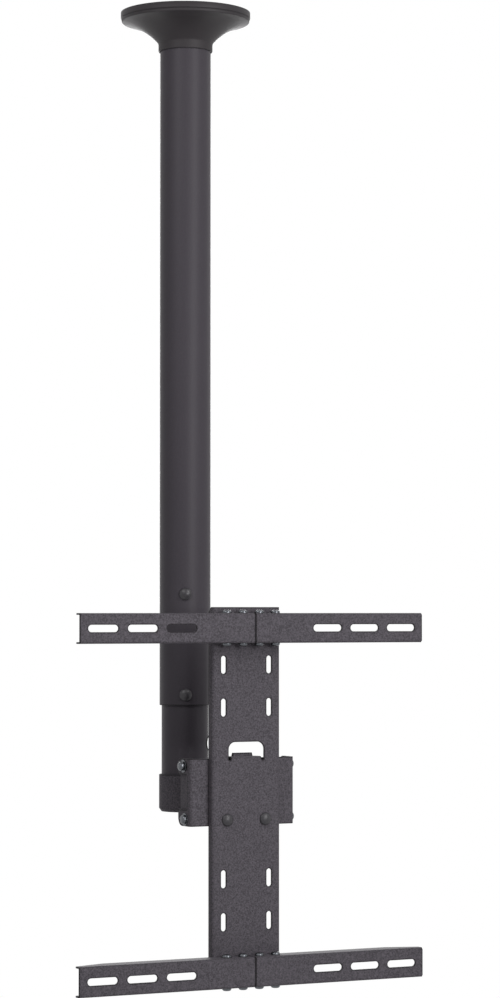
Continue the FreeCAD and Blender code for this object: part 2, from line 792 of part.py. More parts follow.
def swivel_boom():
    """Box-section arm from the cup to the swivel bracket, cut to the cup's curve."""
    body = new_body("swivel_boom")
    start = f"{SLEEVE_R} / 2"
    end = f"({WEB_REACH} - dim.swivel_gauge)"
    outside = new_sketch(body, "boom_outside", "XZ", start)
    boom_section(outside, "0")
    pad(body, outside, f"{end} - {start}")
    inside = new_sketch(body, "boom_inside", "XZ", end)
    boom_section(inside, "dim.boom_wall")
    pocket(body, inside, f"{end} - {start}")
    top = f"-{BOOM_DROP} + dim.boom_height"
    cut = new_sketch(body, "boom_saddle", "XY", top)
    circle(cut, SLEEVE_R)
    pocket(body, cut, "2 * dim.boom_height")


# Swivel bracket: a folded channel welded to the boom. Its sides stand just inside
# the tilt bracket's and carry the pivot and lock bolts.

TILT_HALF = "(dim.tilt_width / 2)"
INNER_HALF = "(dim.tilt_width / 2 - dim.tilt_gauge)"
SWIVEL_HALF = f"({INNER_HALF} - dim.bracket_side_gap)"
TILT_BOLT_R = "(dim.tilt_bolt_dia / 2)"
PIVOT = (f"-{PIVOT_REACH}", f"-{PIVOT_DROP}")
LOCK = (f"-{LOCK_REACH}", f"-{LOCK_DROP}")


def channel(body, name, half, web_reach, flange_reach, gauge, drop, height):
    """A folded channel standing upright: a web across the front or back, and two
    sides that run from it."""
    inner = f"({half} - {gauge})"
    step = gauge if value(flange_reach) > value(web_reach) else f"-{gauge}"
    web = f"-{web_reach}"
    inside = f"-({web_reach} + {step})"
    end = f"-{flange_reach}"
    sketch = new_sketch(body, name, "XY", f"-{drop}")
    corners = [(f"-{half}", web), (half, web), (half, end), (inner, end)]
    corners += [(inner, inside), (f"-{inner}", inside), (f"-{inner}", end), (f"-{half}", end)]
    outline(sketch, corners)
    pad(body, sketch, height)
    return inner, web, inside


def fold(body, half, web, inner, inside, bend, gauge):
    """Rounds the two folds of a channel, outside and inside."""
    round_edges(body, bend, {"x": half, "y": web}, {"x": f"-{half}", "y": web})
    tight = f"{bend} - {gauge}"
    round_edges(body, tight, {"x": inner, "y": inside}, {"x": f"-{inner}", "y": inside})


def through_sides(body, name, radius, spots):
    """Round holes through both sides of a bracket."""
    sketch = new_sketch(body, name, "YZ", "dim.tilt_width")
    for across, up in spots:
        circle(sketch, radius, across, up)
    return pocket(body, sketch, "2 * dim.tilt_width")


def swivel_bracket():
    body = new_body("swivel_bracket")
    gauge = "dim.swivel_gauge"
    web_rear = f"({WEB_REACH} - {gauge})"
    height = f"{TILT_DROP} - {SWIVEL_TOP}"
    front = SWIVEL_FRONT
    faces = channel(
        body, "swivel_section", SWIVEL_HALF, web_rear, front, gauge, TILT_DROP, height
    )
    inner, web, inside = faces
    fold(body, SWIVEL_HALF, web, inner, inside, "dim.swivel_bend", gauge)
    slope = new_sketch(body, "swivel_slope", "YZ", "dim.tilt_width")
    top = f"-{SWIVEL_TOP}"
    corners = [(f"-{SWIVEL_FRONT}", f"-{TILT_DROP}"), (f"-{SWIVEL_FRONT}", top)]
    outline(slope, corners + [(f"-{SWIVEL_TOP_REACH}", top)])
    pocket(body, slope, "2 * dim.tilt_width")
    through_sides(body, "swivel_holes", f"{TILT_BOLT_R} + dim.slip_gap", [PIVOT, LOCK])


# Tilt bracket: a folded channel that hangs the backbone. Its sides have a pivot
# hole at the foot and a slot round it at the top, and a tongue stands on its web.


def tilt_bracket():
    body = new_body("tilt_bracket")
    gauge = "dim.tilt_gauge"
    height = f"{TILT_DROP} - {TILT_TOP}"
    front = TILT_FRONT
    rear = TILT_REAR
    faces = channel(body, "tilt_section", TILT_HALF, front, rear, gauge, TILT_DROP, height)
    inner, web, inside = faces
    fold(body, TILT_HALF, web, inner, inside, "dim.tilt_bend", gauge)
    notch = new_sketch(body, "side_notch", "YZ", "dim.tilt_width")
    rail = f"-({TILT_FRONT} - dim.notch_rail)"
    rectangle(notch, rail, f"-{TILT_REAR}", f"-{NOTCH_DROP}", f"-{NOTCH_TOP}")
    pocket(body, notch, "2 * dim.tilt_width")
    spots = [{"y": rail, "z": f"-{NOTCH_DROP}"}, {"y": rail, "z": f"-{NOTCH_TOP}"}]
    round_edges(body, "dim.notch_round", *spots)
    round_edges(body, "dim.ear_upper_round", {"y": f"-{rear}", "z": f"-{TILT_TOP}"})
    round_edges(body, "dim.ear_lower_round", {"y": f"-{rear}", "z": f"-{TILT_DROP}"})
    tongue = new_sketch(body, "tongue", "XZ", f"{front} - {gauge}")
    half = "(dim.tongue_width / 2)"
    base = f"-({TILT_TOP} + {gauge})"
    shoulder = f"-{TILT_TOP}"
    crown = f"-({TILT_TOP} - dim.tongue_rise)"
    tip = f"({half} - dim.tongue_slant)"
    corners = [(f"-{half}", base), (half, base), (half, shoulder), (tip, crown)]
    outline(tongue, corners + [(f"-{tip}", crown), (f"-{half}", shoulder)])
    pad(body, tongue, gauge)
    through_sides(body, "pivot_holes", f"{TILT_BOLT_R} + dim.running_gap", [PIVOT])
    lock_slot(body)
    bolts = new_sketch(body, "dome_holes", "XZ", front)
    for side in ("", "-"):
        circle(bolts, "dim.bolt_dia / 2 + dim.bolt_hole_gap", side + DOME_SIDE, f"-{DOME_DROP}")
    pocket(body, bolts, gauge)


def lock_slot(body):
    """The slot round the pivot, as wide as the lock bolt and as long as the tilt."""
    run = f"({PIVOT_REACH} - {LOCK_REACH})"
    rise = f"({PIVOT_DROP} - {LOCK_DROP})"
    radius = f"sqrt({run}^2 + {rise}^2)"
    half = f"({TILT_BOLT_R} + dim.lock_slot_gap)"
    inner = f"({radius} - {half})"
    outer = f"({radius} + {half})"
    front = f"(atan({run} / {rise}) - dim.tilt_up * 1 deg)"
    rear = f"(atan({run} / {rise}) + dim.tilt_down * 1 deg)"

    def spot(size, angle):
        across = f"-{PIVOT_REACH} + {size} * sin({angle})"
        return across, f"-{PIVOT_DROP} + {size} * cos({angle})"

    corners = [spot(inner, front), spot(outer, front), spot(outer, rear), spot(inner, rear)]
    cut = new_sketch(body, "lock_slot", "YZ", "dim.tilt_width")
    outline(cut, corners, {1: (outer, 1), 3: (inner, -1)})
    pocket(body, cut, "2 * dim.tilt_width")
    for number, angle in enumerate((front, rear), 1):
        through_sides(body, f"lock_slot_end_{number}", half, [spot(radius, angle)])


# Tilt fasteners: zinc-plated pan heads with a cross recess, and nuts inside. The
# lock bolts have a spring washer on their flat washer.


def cross_recess(body, name, level):
    half = "(dim.cross_width / 2)"
    reach = "(dim.cross_length / 2)"
    corners = [(half, reach), (half, half), (reach, half), (reach, f"-{half}"), (half, f"-{half}")]
    corners += [(half, f"-{reach}"), (f"-{half}", f"-{reach}"), (f"-{half}", f"-{half}")]
    corners += [(f"-{reach}", f"-{half}"), (f"-{reach}", half), (f"-{half}", half), (f"-{half}", reach)]
    sketch = new_sketch(body, name, "XY", level)
    outline(sketch, corners)
    return pocket(body, sketch, "dim.cross_depth")


def pan_screw(body, name, head_dia, head, edge, dia, length):
    """A pan-headed screw along its body's Z axis, seated at zero, head up."""
    crown = f"({head_dia}) / 2"
    shank = f"({dia}) / 2"
    sketch = new_sketch(body, name + "_profile", "XZ")
    corners = [("0", f"-({length})"), (shank, f"-({length})"), (shank, "0"), (crown, "0")]
    corners += [(crown, f"{head} - {edge}"), (f"{crown} - {edge}", head), ("0", head)]
    outline(sketch, corners)
    screw = turned(body, sketch)
    recess = cross_recess(body, name + "_cross", head)
    return screw, recess


def tilt_bolt(label, side, spot, stack):
    body = new_body(label)
    length = f"{stack} + dim.tilt_gauge + dim.bracket_side_gap + dim.swivel_gauge + dim.tilt_nut"
    pan_screw(
        body,
        label,
        "dim.tilt_bolt_head_dia",
        "dim.tilt_bolt_head",
        "dim.tilt_bolt_edge",
        "dim.tilt_bolt_dia",
        f"{length} + dim.bolt_end",
    )
    x = f"{side} * ({TILT_HALF} + {stack})"
    place(body, x, spot[0], spot[1], FreeCAD.Vector(0, 1, 0), f"{side} * 90")


def on_both_sides(body, name, start, length, draw):
    """Adds the same flat piece at the right and, mirrored in place, at the left."""
    for side, offset in (("right", start), ("left", f"-({start}) - ({length})")):
        sketch = new_sketch(body, f"{name}_{side}", "YZ", offset)
        draw(sketch)
        pad(body, sketch, length)


def tilt_washers():
    hole = f"{TILT_BOLT_R} + dim.slip_gap"

    def flat_pair(sketch):
        for spot in (PIVOT, LOCK):
            circle(sketch, "dim.tilt_washer_dia / 2", *spot)
            circle(sketch, hole, *spot)

    def spring(sketch):
        circle(sketch, "dim.spring_washer_dia / 2", *LOCK)
        circle(sketch, hole, *LOCK)

    flat = new_body("tilt_flat_washers")
    on_both_sides(flat, "flat_washer", TILT_HALF, "dim.tilt_washer_gauge", flat_pair)
    split = new_body("lock_spring_washers")
    start = f"{TILT_HALF} + dim.tilt_washer_gauge"
    on_both_sides(split, "spring_washer", start, "dim.spring_washer_gauge", spring)
    gap = new_sketch(split, "spring_washer_split", "YZ", "dim.tilt_width")
    half = "dim.spring_washer_split / 2"
    low = f"-{LOCK_DROP}"
    high = f"-{LOCK_DROP} + dim.spring_washer_dia"
    rectangle(gap, f"-{LOCK_REACH} - {half}", f"-{LOCK_REACH} + {half}", low, high)
    pocket(split, gap, "2 * dim.tilt_width")


def tilt_nuts():
    def nuts(sketch):
        for spot in (PIVOT, LOCK):
            hexagon(sketch, "dim.tilt_nut_width", *spot)
            circle(sketch, f"{TILT_BOLT_R} + dim.slip_gap", *spot)

    body = new_body("tilt_nuts")
    start = f"{SWIVEL_HALF} - dim.swivel_gauge - dim.tilt_nut"
    on_both_sides(body, "tilt_nut", start, "dim.tilt_nut", nuts)


# Backbone: a long folded channel. A flap is bent back out of its window and hooks
# over the tilt bracket's tongue, and two dome bolts hold its lower half.

BACK_REAR = f"({BACK_REACH} - dim.backbone_gauge)"
FLAP_TOP = f"({TILT_TOP} - dim.backbone_gauge)"
WINDOW_FOOT = f"({TILT_TOP} - dim.backbone_gauge + dim.flap_bend)"


def backbone():
    body = new_body("backbone")
    gauge = "dim.backbone_gauge"
    reach = BACK_REACH
    rear = TILT_FRONT
    height = f"{BACK_DROP} - {BACK_TOP}"
    faces = channel(body, "backbone_section", BACK_HALF, reach, rear, gauge, BACK_DROP, height)
    inner, web, inside = faces
    fold(body, BACK_HALF, web, inner, inside, "dim.backbone_bend", gauge)
    for name, level, step in (
        ("top_corner", f"-{BACK_TOP}", "-dim.backbone_corner"),
        ("foot_corner", f"-{BACK_DROP}", "dim.backbone_corner"),
    ):
        corner = new_sketch(body, name, "YZ", "dim.backbone_width")
        cut = f"-({rear} + dim.backbone_corner)"
        outline(corner, [(f"-{rear}", level), (cut, level), (f"-{rear}", f"{level} + {step}")])
        pocket(body, corner, "2 * dim.backbone_width")
    backbone_slots(body)
    backbone_window(body)
    bolts = new_sketch(body, "backbone_bolt_holes", "XZ", reach)
    for side in ("", "-"):
        circle(bolts, "dim.bolt_dia / 2 + dim.bolt_hole_gap", side + DOME_SIDE, f"-{DOME_DROP}")
    pocket(body, bolts, gauge)


def backbone_slots(body):
    half = "dim.backbone_slot_width / 2"
    rise = "(dim.backbone_slot_length - dim.backbone_slot_width) / 2"
    sketch = new_sketch(body, "backbone_slots", "XZ", BACK_REACH)
    for side in ("", "-"):
        across = side + SLOT_SIDE
        for step in ("dim.backbone_slot_first", "dim.backbone_slot_second"):
            for way in ("+", "-"):
                level = f"-{SLOT_MIDDLE} {way} {step}"
                slot(sketch, (across, f"{level} - {rise}"), (across, f"{level} + {rise}"), half)
    pocket(body, sketch, "dim.backbone_gauge")


def backbone_window(body):
    gauge = "dim.backbone_gauge"
    half = f"({WINDOW_WIDTH} / 2)"
    corner = "dim.window_round"
    foot = f"-{WINDOW_FOOT}"
    top = f"-{WINDOW_TOP}"
    shoulder = f"{top} - {corner}"
    corners = [(f"-{half}", foot), (half, foot), (half, shoulder), (f"{half} - {corner}", top)]
    corners += [(f"-{half} + {corner}", top), (f"-{half}", shoulder)]
    window = new_sketch(body, "window", "XZ", BACK_REACH)
    outline(window, corners, {2: (corner, -1), 4: (corner, -1)})
    pocket(body, window, gauge)
    relief = new_sketch(body, "window_relief", "XZ", BACK_REACH)
    for side in ("", "-"):
        across = f"{side}({half} - dim.window_relief)"
        circle(relief, "dim.window_relief", across, foot)
    pocket(body, relief, gauge)
    flap = new_sketch(body, "flap", "YZ", f"-{FLAP_WIDTH} / 2")
    face = f"-{BACK_REACH}"
    inside = f"-{BACK_REAR}"
    tail = f"-({TILT_FRONT} - dim.tilt_gauge - dim.flap_tail)"
    high = f"-{FLAP_TOP}"
    low = f"-{TILT_TOP}"
    bend = "dim.flap_bend"
    tight = f"({bend} - {gauge})"
    corners = [
        (inside, foot),
        (face, foot),
        (f"{face} + {bend}", high),
        (tail, high),
        (tail, low),
        (f"{inside} + {tight}", low),
    ]
    outline(flap, corners, {1: (bend, 1), 5: (tight, -1)})
    pad(body, flap, FLAP_WIDTH)
    ends = [{"x": f"{side}{FLAP_WIDTH} / 2", "y": tail} for side in ("", "-")]
    round_edges(body, "dim.flap_round", *ends)
    hole = new_sketch(body, "tongue_slot", "XY", high)
    wide = "(dim.tongue_width / 2 + dim.flap_slot_gap)"
    front = f"-({TILT_FRONT} + dim.flap_slot_gap)"
    back = f"-({TILT_FRONT} - dim.tilt_gauge - dim.flap_slot_gap)"
    rectangle(hole, f"-{wide}", wide, front, back)
    pocket(body, hole, gauge)


def backbone_bolt(label, side):
    """A black dome-headed bolt on the backbone's face."""
    body = new_body(label)
    head = "dim.bolt_head_dia / 2"
    shank = "dim.bolt_dia / 2"
    rise = "(dim.bolt_head - dim.bolt_head_rim)"
    dome = f"(({head})^2 + {rise}^2) / (2 * {rise})"
    tip = f"{TILT_FRONT} - dim.tilt_gauge - dim.dome_nut - dim.bolt_end"
    length = f"-({BACK_REACH} - ({tip}))"
    sketch = new_sketch(body, label + "_profile", "XZ")
    corners = [("0", length), (shank, length), (shank, "0"), (head, "0")]
    outline(sketch, corners + [(head, "dim.bolt_head_rim"), ("0", "dim.bolt_head")], {4: (dome, -1)})
    turned(body, sketch)
    spot = (f"{side} * {DOME_SIDE}", f"-{BACK_REACH}", f"-{DOME_DROP}")
    place(body, *spot, FreeCAD.Vector(1, 0, 0), "90")


def backbone_spacers():
    """Short tubes round the dome bolts, between the backbone and the tilt bracket."""
    body = new_body("backbone_spacers")
    sketch = new_sketch(body, "spacer_section", "XZ", TILT_FRONT)
    for side in ("", "-"):
        circle(sketch, "dim.spacer_dia / 2", side + DOME_SIDE, f"-{DOME_DROP}")
        circle(sketch, "dim.bolt_dia / 2 + dim.slip_gap", side + DOME_SIDE, f"-{DOME_DROP}")
    pad(body, sketch, f"{BACK_REAR} - {TILT_FRONT}")


def backbone_nuts():
    body = new_body("backbone_nuts")
    start = f"{TILT_FRONT} - dim.tilt_gauge - dim.dome_nut"
    sketch = new_sketch(body, "dome_nut_section", "XZ", start)
    for side in ("", "-"):
        hexagon(sketch, "dim.dome_nut_width", side + DOME_SIDE, f"-{DOME_DROP}")
        circle(sketch, "dim.bolt_dia / 2 + dim.slip_gap", side + DOME_SIDE, f"-{DOME_DROP}")
    pad(body, sketch, "dim.dome_nut")


# Arms: four folded channels, open to the back, screwed in pairs over a carrier
# that is welded to the backbone.

SCREW_PITCH = "dim.arm_screw_spread / (dim.arm_screw_count - 1)"


def lying_channel(body, name, start, length, web_reach, flange_reach, height, gauge, bend):
    """A folded channel lying along X, centred on the level of its body's origin."""
    half = f"({height} / 2)"
    inner = f"({height} / 2 - {gauge})"
    step = f"-{gauge}" if value(web_reach) > value(flange_reach) else gauge
    web = f"-{web_reach}"
    inside = f"-({web_reach} + {step})"
    end = f"-{flange_reach}"
    corners = [(web, f"-{half}"), (web, half), (end, half), (end, inner), (inside, inner)]
    corners += [(inside, f"-{inner}"), (end, f"-{inner}"), (end, f"-{half}")]
    sketch = new_sketch(body, name, "YZ", start)
    outline(sketch, corners)
    pad(body, sketch, length)
    round_edges(body, bend, {"y": web, "z": half}, {"y": web, "z": f"-{half}"})
    tight = f"{bend} - {gauge}"
    round_edges(body, tight, {"y": inside, "z": inner}, {"y": inside, "z": f"-{inner}"})


def arm(label, row_drop, side):
    """One arm. It is drawn for the right and turned half a turn for the left."""
    body = new_body(label)
    start = "dim.arm_joint_gap / 2"
    end = ARM_END
    reach = ARM_REACH
    length = f"{end} - {start}"
    rear = BACK_REACH
    sizes = ("dim.arm_height", "dim.arm_gauge", "dim.arm_bend")
    lying_channel(body, label + "_section", start, length, reach, rear, *sizes)
    taper = new_sketch(body, label + "_taper", "XY", "dim.arm_height")
    corners = [(f"{end} - dim.arm_taper_length", f"-{rear}"), (end, f"-{rear}")]
    outline(taper, corners + [(end, f"-({rear} + dim.arm_taper_depth)")])
    pocket(body, taper, "2 * dim.arm_height")
    half = "dim.arm_height / 2"
    corner = new_sketch(body, label + "_corner", "XZ", reach)
    for way, turn in (("", 1), ("-", -1)):
        edge = f"{way}{half}"
        low = f"{way}({half} - dim.arm_corner)"
        points = [(end, edge), (f"{end} - dim.arm_corner", edge), (end, low)]
        outline(corner, points, {1: ("dim.arm_corner", turn)})
    pocket(body, corner, "dim.arm_gauge")
    slots = new_sketch(body, label + "_slot", "XZ", reach)
    rise = "(dim.arm_slot_length - dim.arm_slot_width) / 2"
    ends = [(f"{FIRST_SLOT} {way} {rise}", "0") for way in ("-", "+")]
    slot(slots, *ends, "dim.arm_slot_width / 2")
    first = pocket(body, slots, "dim.arm_gauge")
    run = "dim.arm_slot_pitch * (dim.arm_slot_count - 1)"
    repeat_along(body, [first], "X", run, "dim.arm_slot_count", -1)
    holes = new_sketch(body, label + "_screw_hole", "XY", "dim.arm_height")
    circle(holes, "dim.arm_screw_dia / 2 + dim.slip_gap", f"{SCREW_PITCH} / 2", f"-{SCREW_REACH}")
    hole = pocket(body, holes, "2 * dim.arm_height")
    repeat_along(body, [hole], "X", SCREW_PITCH, "dim.arm_screw_count / 2", -1)
    turn = "0" if side > 0 else "180"
    place(body, z=f"-{row_drop}", axis=FreeCAD.Vector(0, 1, 0), turn=turn)


def arm_carrier(label, row_drop):
    body = new_body(label)
    half = f"({BACK_HALF} - dim.carrier_inset)"
    front = f"({ARM_REACH} - dim.arm_gauge - dim.carrier_gap)"
    height = "(dim.arm_height - 2 * dim.arm_gauge)"
    sizes = (height, "dim.carrier_gauge", "dim.carrier_bend")
    name = label + "_section"
    lying_channel(body, name, f"-{half}", f"2 * {half}", BACK_REACH, front, *sizes)
    holes = new_sketch(body, label + "_screw_hole", "XY", "dim.arm_height")
    across = "-dim.arm_screw_spread / 2"
    circle(holes, "dim.arm_screw_dia / 2 + dim.slip_gap", across, f"-{SCREW_REACH}")
    hole = pocket(body, holes, "2 * dim.arm_height")
    repeat_along(body, [hole], "X", "dim.arm_screw_spread", "dim.arm_screw_count", -1)
    place(body, z=f"-{row_drop}")


def arm_screws(label, row_drop, way):
    """A row of pan-headed screws on the top or the underside of a pair of arms."""
    body = new_body(label)
    length = "dim.arm_gauge + dim.carrier_gauge + dim.arm_screw_end"
    screw, recess = pan_screw(
        body,
        label,
        "dim.arm_screw_head_dia",
        "dim.arm_screw_head",
        "dim.arm_screw_edge",
        "dim.arm_screw_dia",
        length,
    )
    spread = "dim.arm_screw_spread"
    repeat_along(body, [screw, recess], "X", spread, "dim.arm_screw_count", 1)
    x = f"-{way} * dim.arm_screw_spread / 2"
    z = f"-{row_drop} + {way} * dim.arm_height / 2"
    turn = "0" if way > 0 else "180"
    place(body, x, f"-{SCREW_REACH}", z, FreeCAD.Vector(0, 1, 0), turn)


def build():
    ceiling_plate()
    pole_socket()
    outer_pole()
    pole_lock_screws()
    height_bolt("upper_height_bolt", UPPER_BOLT_DROP)
    height_bolt("lower_height_bolt", LOWER_BOLT_DROP)
    clamp_bar()
    canopy_cover()
    canopy_grip_ring()
    inner_pole()
    pole_top_cap()
    cable_grommet()
    pole_end_plug()
    swivel_sleeve()
    swivel_bush()
    swivel_washers()
    swivel_nut()
    swivel_bolt()
    swivel_boom()
    swivel_bracket()
    tilt_bracket()
    lock_stack = "(dim.tilt_washer_gauge + dim.spring_washer_gauge)"
    for side, word in ((1, "right"), (-1, "left")):
        tilt_bolt(f"{word}_tilt_pivot_bolt", side, PIVOT, "dim.tilt_washer_gauge")
        tilt_bolt(f"{word}_tilt_lock_bolt", side, LOCK, lock_stack)
        backbone_bolt(f"{word}_backbone_bolt", side)
    tilt_washers()
    tilt_nuts()
    backbone()
    backbone_spacers()
    backbone_nuts()
    for level, drop in (("upper", UPPER_ARM_DROP), ("lower", LOWER_ARM_DROP)):
        arm_carrier(f"{level}_arm_carrier", drop)
        arm(f"{level}_right_arm", drop, 1)
        arm(f"{level}_left_arm", drop, -1)
        arm_screws(f"{level}_arm_top_screws", drop, 1)
        arm_screws(f"{level}_arm_underside_screws", drop, -1)


def write_parts():
    """Checks every object of the document, then writes one file for each piece."""
    doc.recompute()
    for item in doc.Objects:
        if "Invalid" in item.State or "Error" in item.State:
            raise RuntimeError(f"{item.Label} did not build: {item.State}")
    os.makedirs("parts", exist_ok=True)
    for body in NODES:
        shape = body.Shape
        if shape.isNull() or not shape.isValid():
            raise RuntimeError(f"{body.Label} has no valid shape")
        shape.exportStep(f"parts/{body.Label}.step")
        print(f"{body.Label}: {len(shape.Solids)} solid(s), {shape.Volume:.0f} mm3")


build()
write_parts()
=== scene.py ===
import json
import math

import bmesh
import bpy
from mathutils import Matrix, Vector

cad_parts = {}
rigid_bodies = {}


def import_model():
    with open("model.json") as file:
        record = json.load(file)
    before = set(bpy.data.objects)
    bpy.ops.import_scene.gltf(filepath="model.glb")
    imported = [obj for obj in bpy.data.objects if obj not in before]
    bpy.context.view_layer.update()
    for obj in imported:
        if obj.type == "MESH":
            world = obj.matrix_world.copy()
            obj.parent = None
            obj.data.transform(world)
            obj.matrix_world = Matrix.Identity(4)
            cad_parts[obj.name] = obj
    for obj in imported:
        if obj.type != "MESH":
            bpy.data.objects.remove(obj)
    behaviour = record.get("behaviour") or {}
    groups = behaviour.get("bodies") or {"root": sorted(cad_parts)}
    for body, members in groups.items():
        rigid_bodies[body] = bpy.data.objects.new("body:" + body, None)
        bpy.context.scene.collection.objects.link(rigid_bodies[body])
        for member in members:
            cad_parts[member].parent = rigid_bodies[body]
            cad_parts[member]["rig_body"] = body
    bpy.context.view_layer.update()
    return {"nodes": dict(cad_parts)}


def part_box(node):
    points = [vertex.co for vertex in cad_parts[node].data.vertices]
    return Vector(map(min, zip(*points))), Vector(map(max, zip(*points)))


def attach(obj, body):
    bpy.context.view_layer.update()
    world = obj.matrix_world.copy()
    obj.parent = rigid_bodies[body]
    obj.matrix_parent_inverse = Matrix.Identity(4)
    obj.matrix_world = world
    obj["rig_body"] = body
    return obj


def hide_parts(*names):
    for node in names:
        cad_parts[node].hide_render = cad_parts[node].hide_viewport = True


for spare in list(bpy.data.objects):
    bpy.data.objects.remove(spare)
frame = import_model()

# Ceiling plate, socket and lock screws: pressed and turned mild steel with a bright
# zinc plate. The plate is screwed to the ceiling, and the pole slips over the
# socket, where four screws hold it.

MERGE_DISTANCE = 1e-5
FLAT_ANGLE = math.radians(1)
SHARP_ANGLE = math.radians(30)
CUT_EDGE = 0.0003


def linear(hex_colour):
    """The linear values of an sRGB hex colour."""
    parts = [int(hex_colour[k:k + 2], 16) / 255 for k in (1, 3, 5)]
    return [c / 12.92 if c <= 0.04045 else ((c + 0.055) / 1.055) ** 2.4 for c in parts] + [1]


def add_node(owner, kind, settings=None, links=None):
    """Adds a node to a material or the world. settings are its sockets' values or
    its own, and links give each named socket the output of another node."""
    node = owner.node_tree.nodes.new("ShaderNode" + kind)
    for name, value in (settings or {}).items():
        if name in node.inputs:
            node.inputs[name].default_value = value
        else:
            setattr(node, name, value)
    for name, (source, output) in (links or {}).items():
        owner.node_tree.links.new(source.outputs[output], node.inputs[name])
    return node


def empty_material(name):
    material = bpy.data.materials.new(name)
    material.use_nodes = True
    material.node_tree.nodes.clear()
    return material


def zinc_plate(name, plate, roughness):
    """Electroplated zinc: a bluish metal with soft clouds and a fine drawn grain,
    which shows as uneven gloss. Its colour is darker than new zinc's: painted
    shade, standing in for the dark surroundings that the real screws reflect."""
    cloud_size = 0.004
    grain_size = 0.0005
    material = empty_material(name)
    place = add_node(material, "TexCoord")
    spot = {"Vector": (place, "Object")}
    clouds = add_node(material, "TexNoise", {"Scale": 1 / cloud_size, "Detail": 3}, spot)
    grain = add_node(material, "TexNoise", {"Scale": 1 / grain_size, "Detail": 1}, spot)
    tone = add_node(material, "MapRange", {"To Min": 0.86, "To Max": 1.1}, {"Value": (clouds, 0)})
    colour = add_node(material, "HueSaturation", {"Color": linear(plate)}, {"Value": (tone, 0)})
    gloss = {"To Min": roughness - 0.08, "To Max": roughness + 0.1}
    rough = add_node(material, "MapRange", gloss, {"Value": (clouds, 0)})
    relief = {"Strength": 0.25, "Distance": 0.00004}
    bump = add_node(material, "Bump", relief, {"Height": (grain, 0)})
    steel = add_node(
        material,
        "BsdfPrincipled",
        {"Metallic": 1},
        {"Base Color": (colour, 0), "Roughness": (rough, 0), "Normal": (bump, 0)},
    )
    add_node(material, "OutputMaterial", {}, {"Surface": (steel, 0)})
    return material


def as_mesh(bm, name):
    mesh = bpy.data.meshes.new(name)
    bm.to_mesh(mesh)
    bm.free()
    return mesh


def show(bm, name, material, *nodes):
    """Makes a piece that stands for the CAD nodes named and rides on their body."""
    mesh = as_mesh(bm, name)
    mesh.materials.append(material)
    mesh.shade_smooth()
    piece = bpy.data.objects.new(name, mesh)
    bpy.context.scene.collection.objects.link(piece)
    level = piece.modifiers.new("even_normals", "WEIGHTED_NORMAL")
    level.keep_sharp = True
    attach(piece, frame["nodes"][nodes[0]]["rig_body"])
    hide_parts(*nodes)


def eased(node, material, radius=CUT_EDGE, steps=2):
    """Shows a node with its sharp edges rounded, as deburring and plating leave them."""
    bm = bmesh.new()
    bm.from_mesh(frame["nodes"][node].data)
    bmesh.ops.remove_doubles(bm, verts=bm.verts, dist=MERGE_DISTANCE)
    bmesh.ops.dissolve_limit(bm, angle_limit=FLAT_ANGLE, verts=bm.verts, edges=bm.edges)
    sharp = [e for e in bm.edges if e.is_manifold and e.calc_face_angle() > SHARP_ANGLE]
    bmesh.ops.bevel(
        bm,
        geom=sharp,
        offset=radius,
        segments=steps,
        profile=0.5,
        affect="EDGES",
        clamp_overlap=False,
    )
    low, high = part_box(node)
    for corner in bm.verts:
        for k in range(3):
            corner.co[k] = min(max(corner.co[k], low[k]), high[k])
    show(bm, node + "_finished", material, node)


# The zinc's colour is darkened as painted shade, for the dark surroundings its screws reflect.
zinc = zinc_plate("bright_zinc_on_steel", "#5a5c60", 0.26)
eased("ceiling_plate", zinc)
eased("pole_socket", zinc)

LOCK_HEAD = 0.005
LOCK_SHANK = 0.003
LOCK_CROWN = 0.0028
LOCK_LENGTH = 0.0045
LOCK_SCREWS = 4
POLE_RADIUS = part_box("outer_pole")[1].x
POLE_TURN = math.radians(-25)
LOCK_LEVEL = sum(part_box("pole_lock_screws")[k].z for k in (0, 1)) / 2


def rounded(corners, radii, steps=5):
    """An outline with the numbered corners turned into arcs."""
    points = []
    for k, corner in enumerate(corners):
        if k not in radii:
            points.append(corner)
            continue
        tip = Vector(corner)
        before = (Vector(corners[k - 1]) - tip).normalized()
        after = (Vector(corners[(k + 1) % len(corners)]) - tip).normalized()
        half = before.angle(after) / 2
        centre = tip + (before + after).normalized() * radii[k] / math.sin(half)
        start = tip + before * radii[k] / math.tan(half) - centre
        end = tip + after * radii[k] / math.tan(half) - centre
        for step in range(steps + 1):
            points.append(tuple(centre + start.slerp(end, step / steps) * radii[k]))
    return points


def turned(profile, steps=72):
    """A solid turned about the Z axis from (radius, height) points. It is a ring
    unless the profile starts and ends on the axis."""
    bm = bmesh.new()
    points = [bm.verts.new((radius, 0, height)) for radius, height in profile]
    pairs = list(zip(points, points[1:]))
    if profile[0][0] > 0:
        pairs.append((points[-1], points[0]))
    edges = [bm.edges.new(pair) for pair in pairs]
    bmesh.ops.spin(
        bm, geom=points + edges, cent=(0, 0, 0), axis=(0, 0, 1), angle=math.tau, steps=steps
    )
    bmesh.ops.remove_doubles(bm, verts=bm.verts, dist=MERGE_DISTANCE)
    bmesh.ops.recalc_face_normals(bm, faces=bm.faces)
    return bm


def thread(radius, start, end, pitch=0.001, depth=0.00035):
    """Profile points of a screw thread, from one height to another."""
    count = int(abs(end - start) / pitch)
    step = (end - start) / count
    points = []
    for k in range(count):
        points += [(radius - depth, start + step * k), (radius, start + step * (k + 0.5))]
    return points


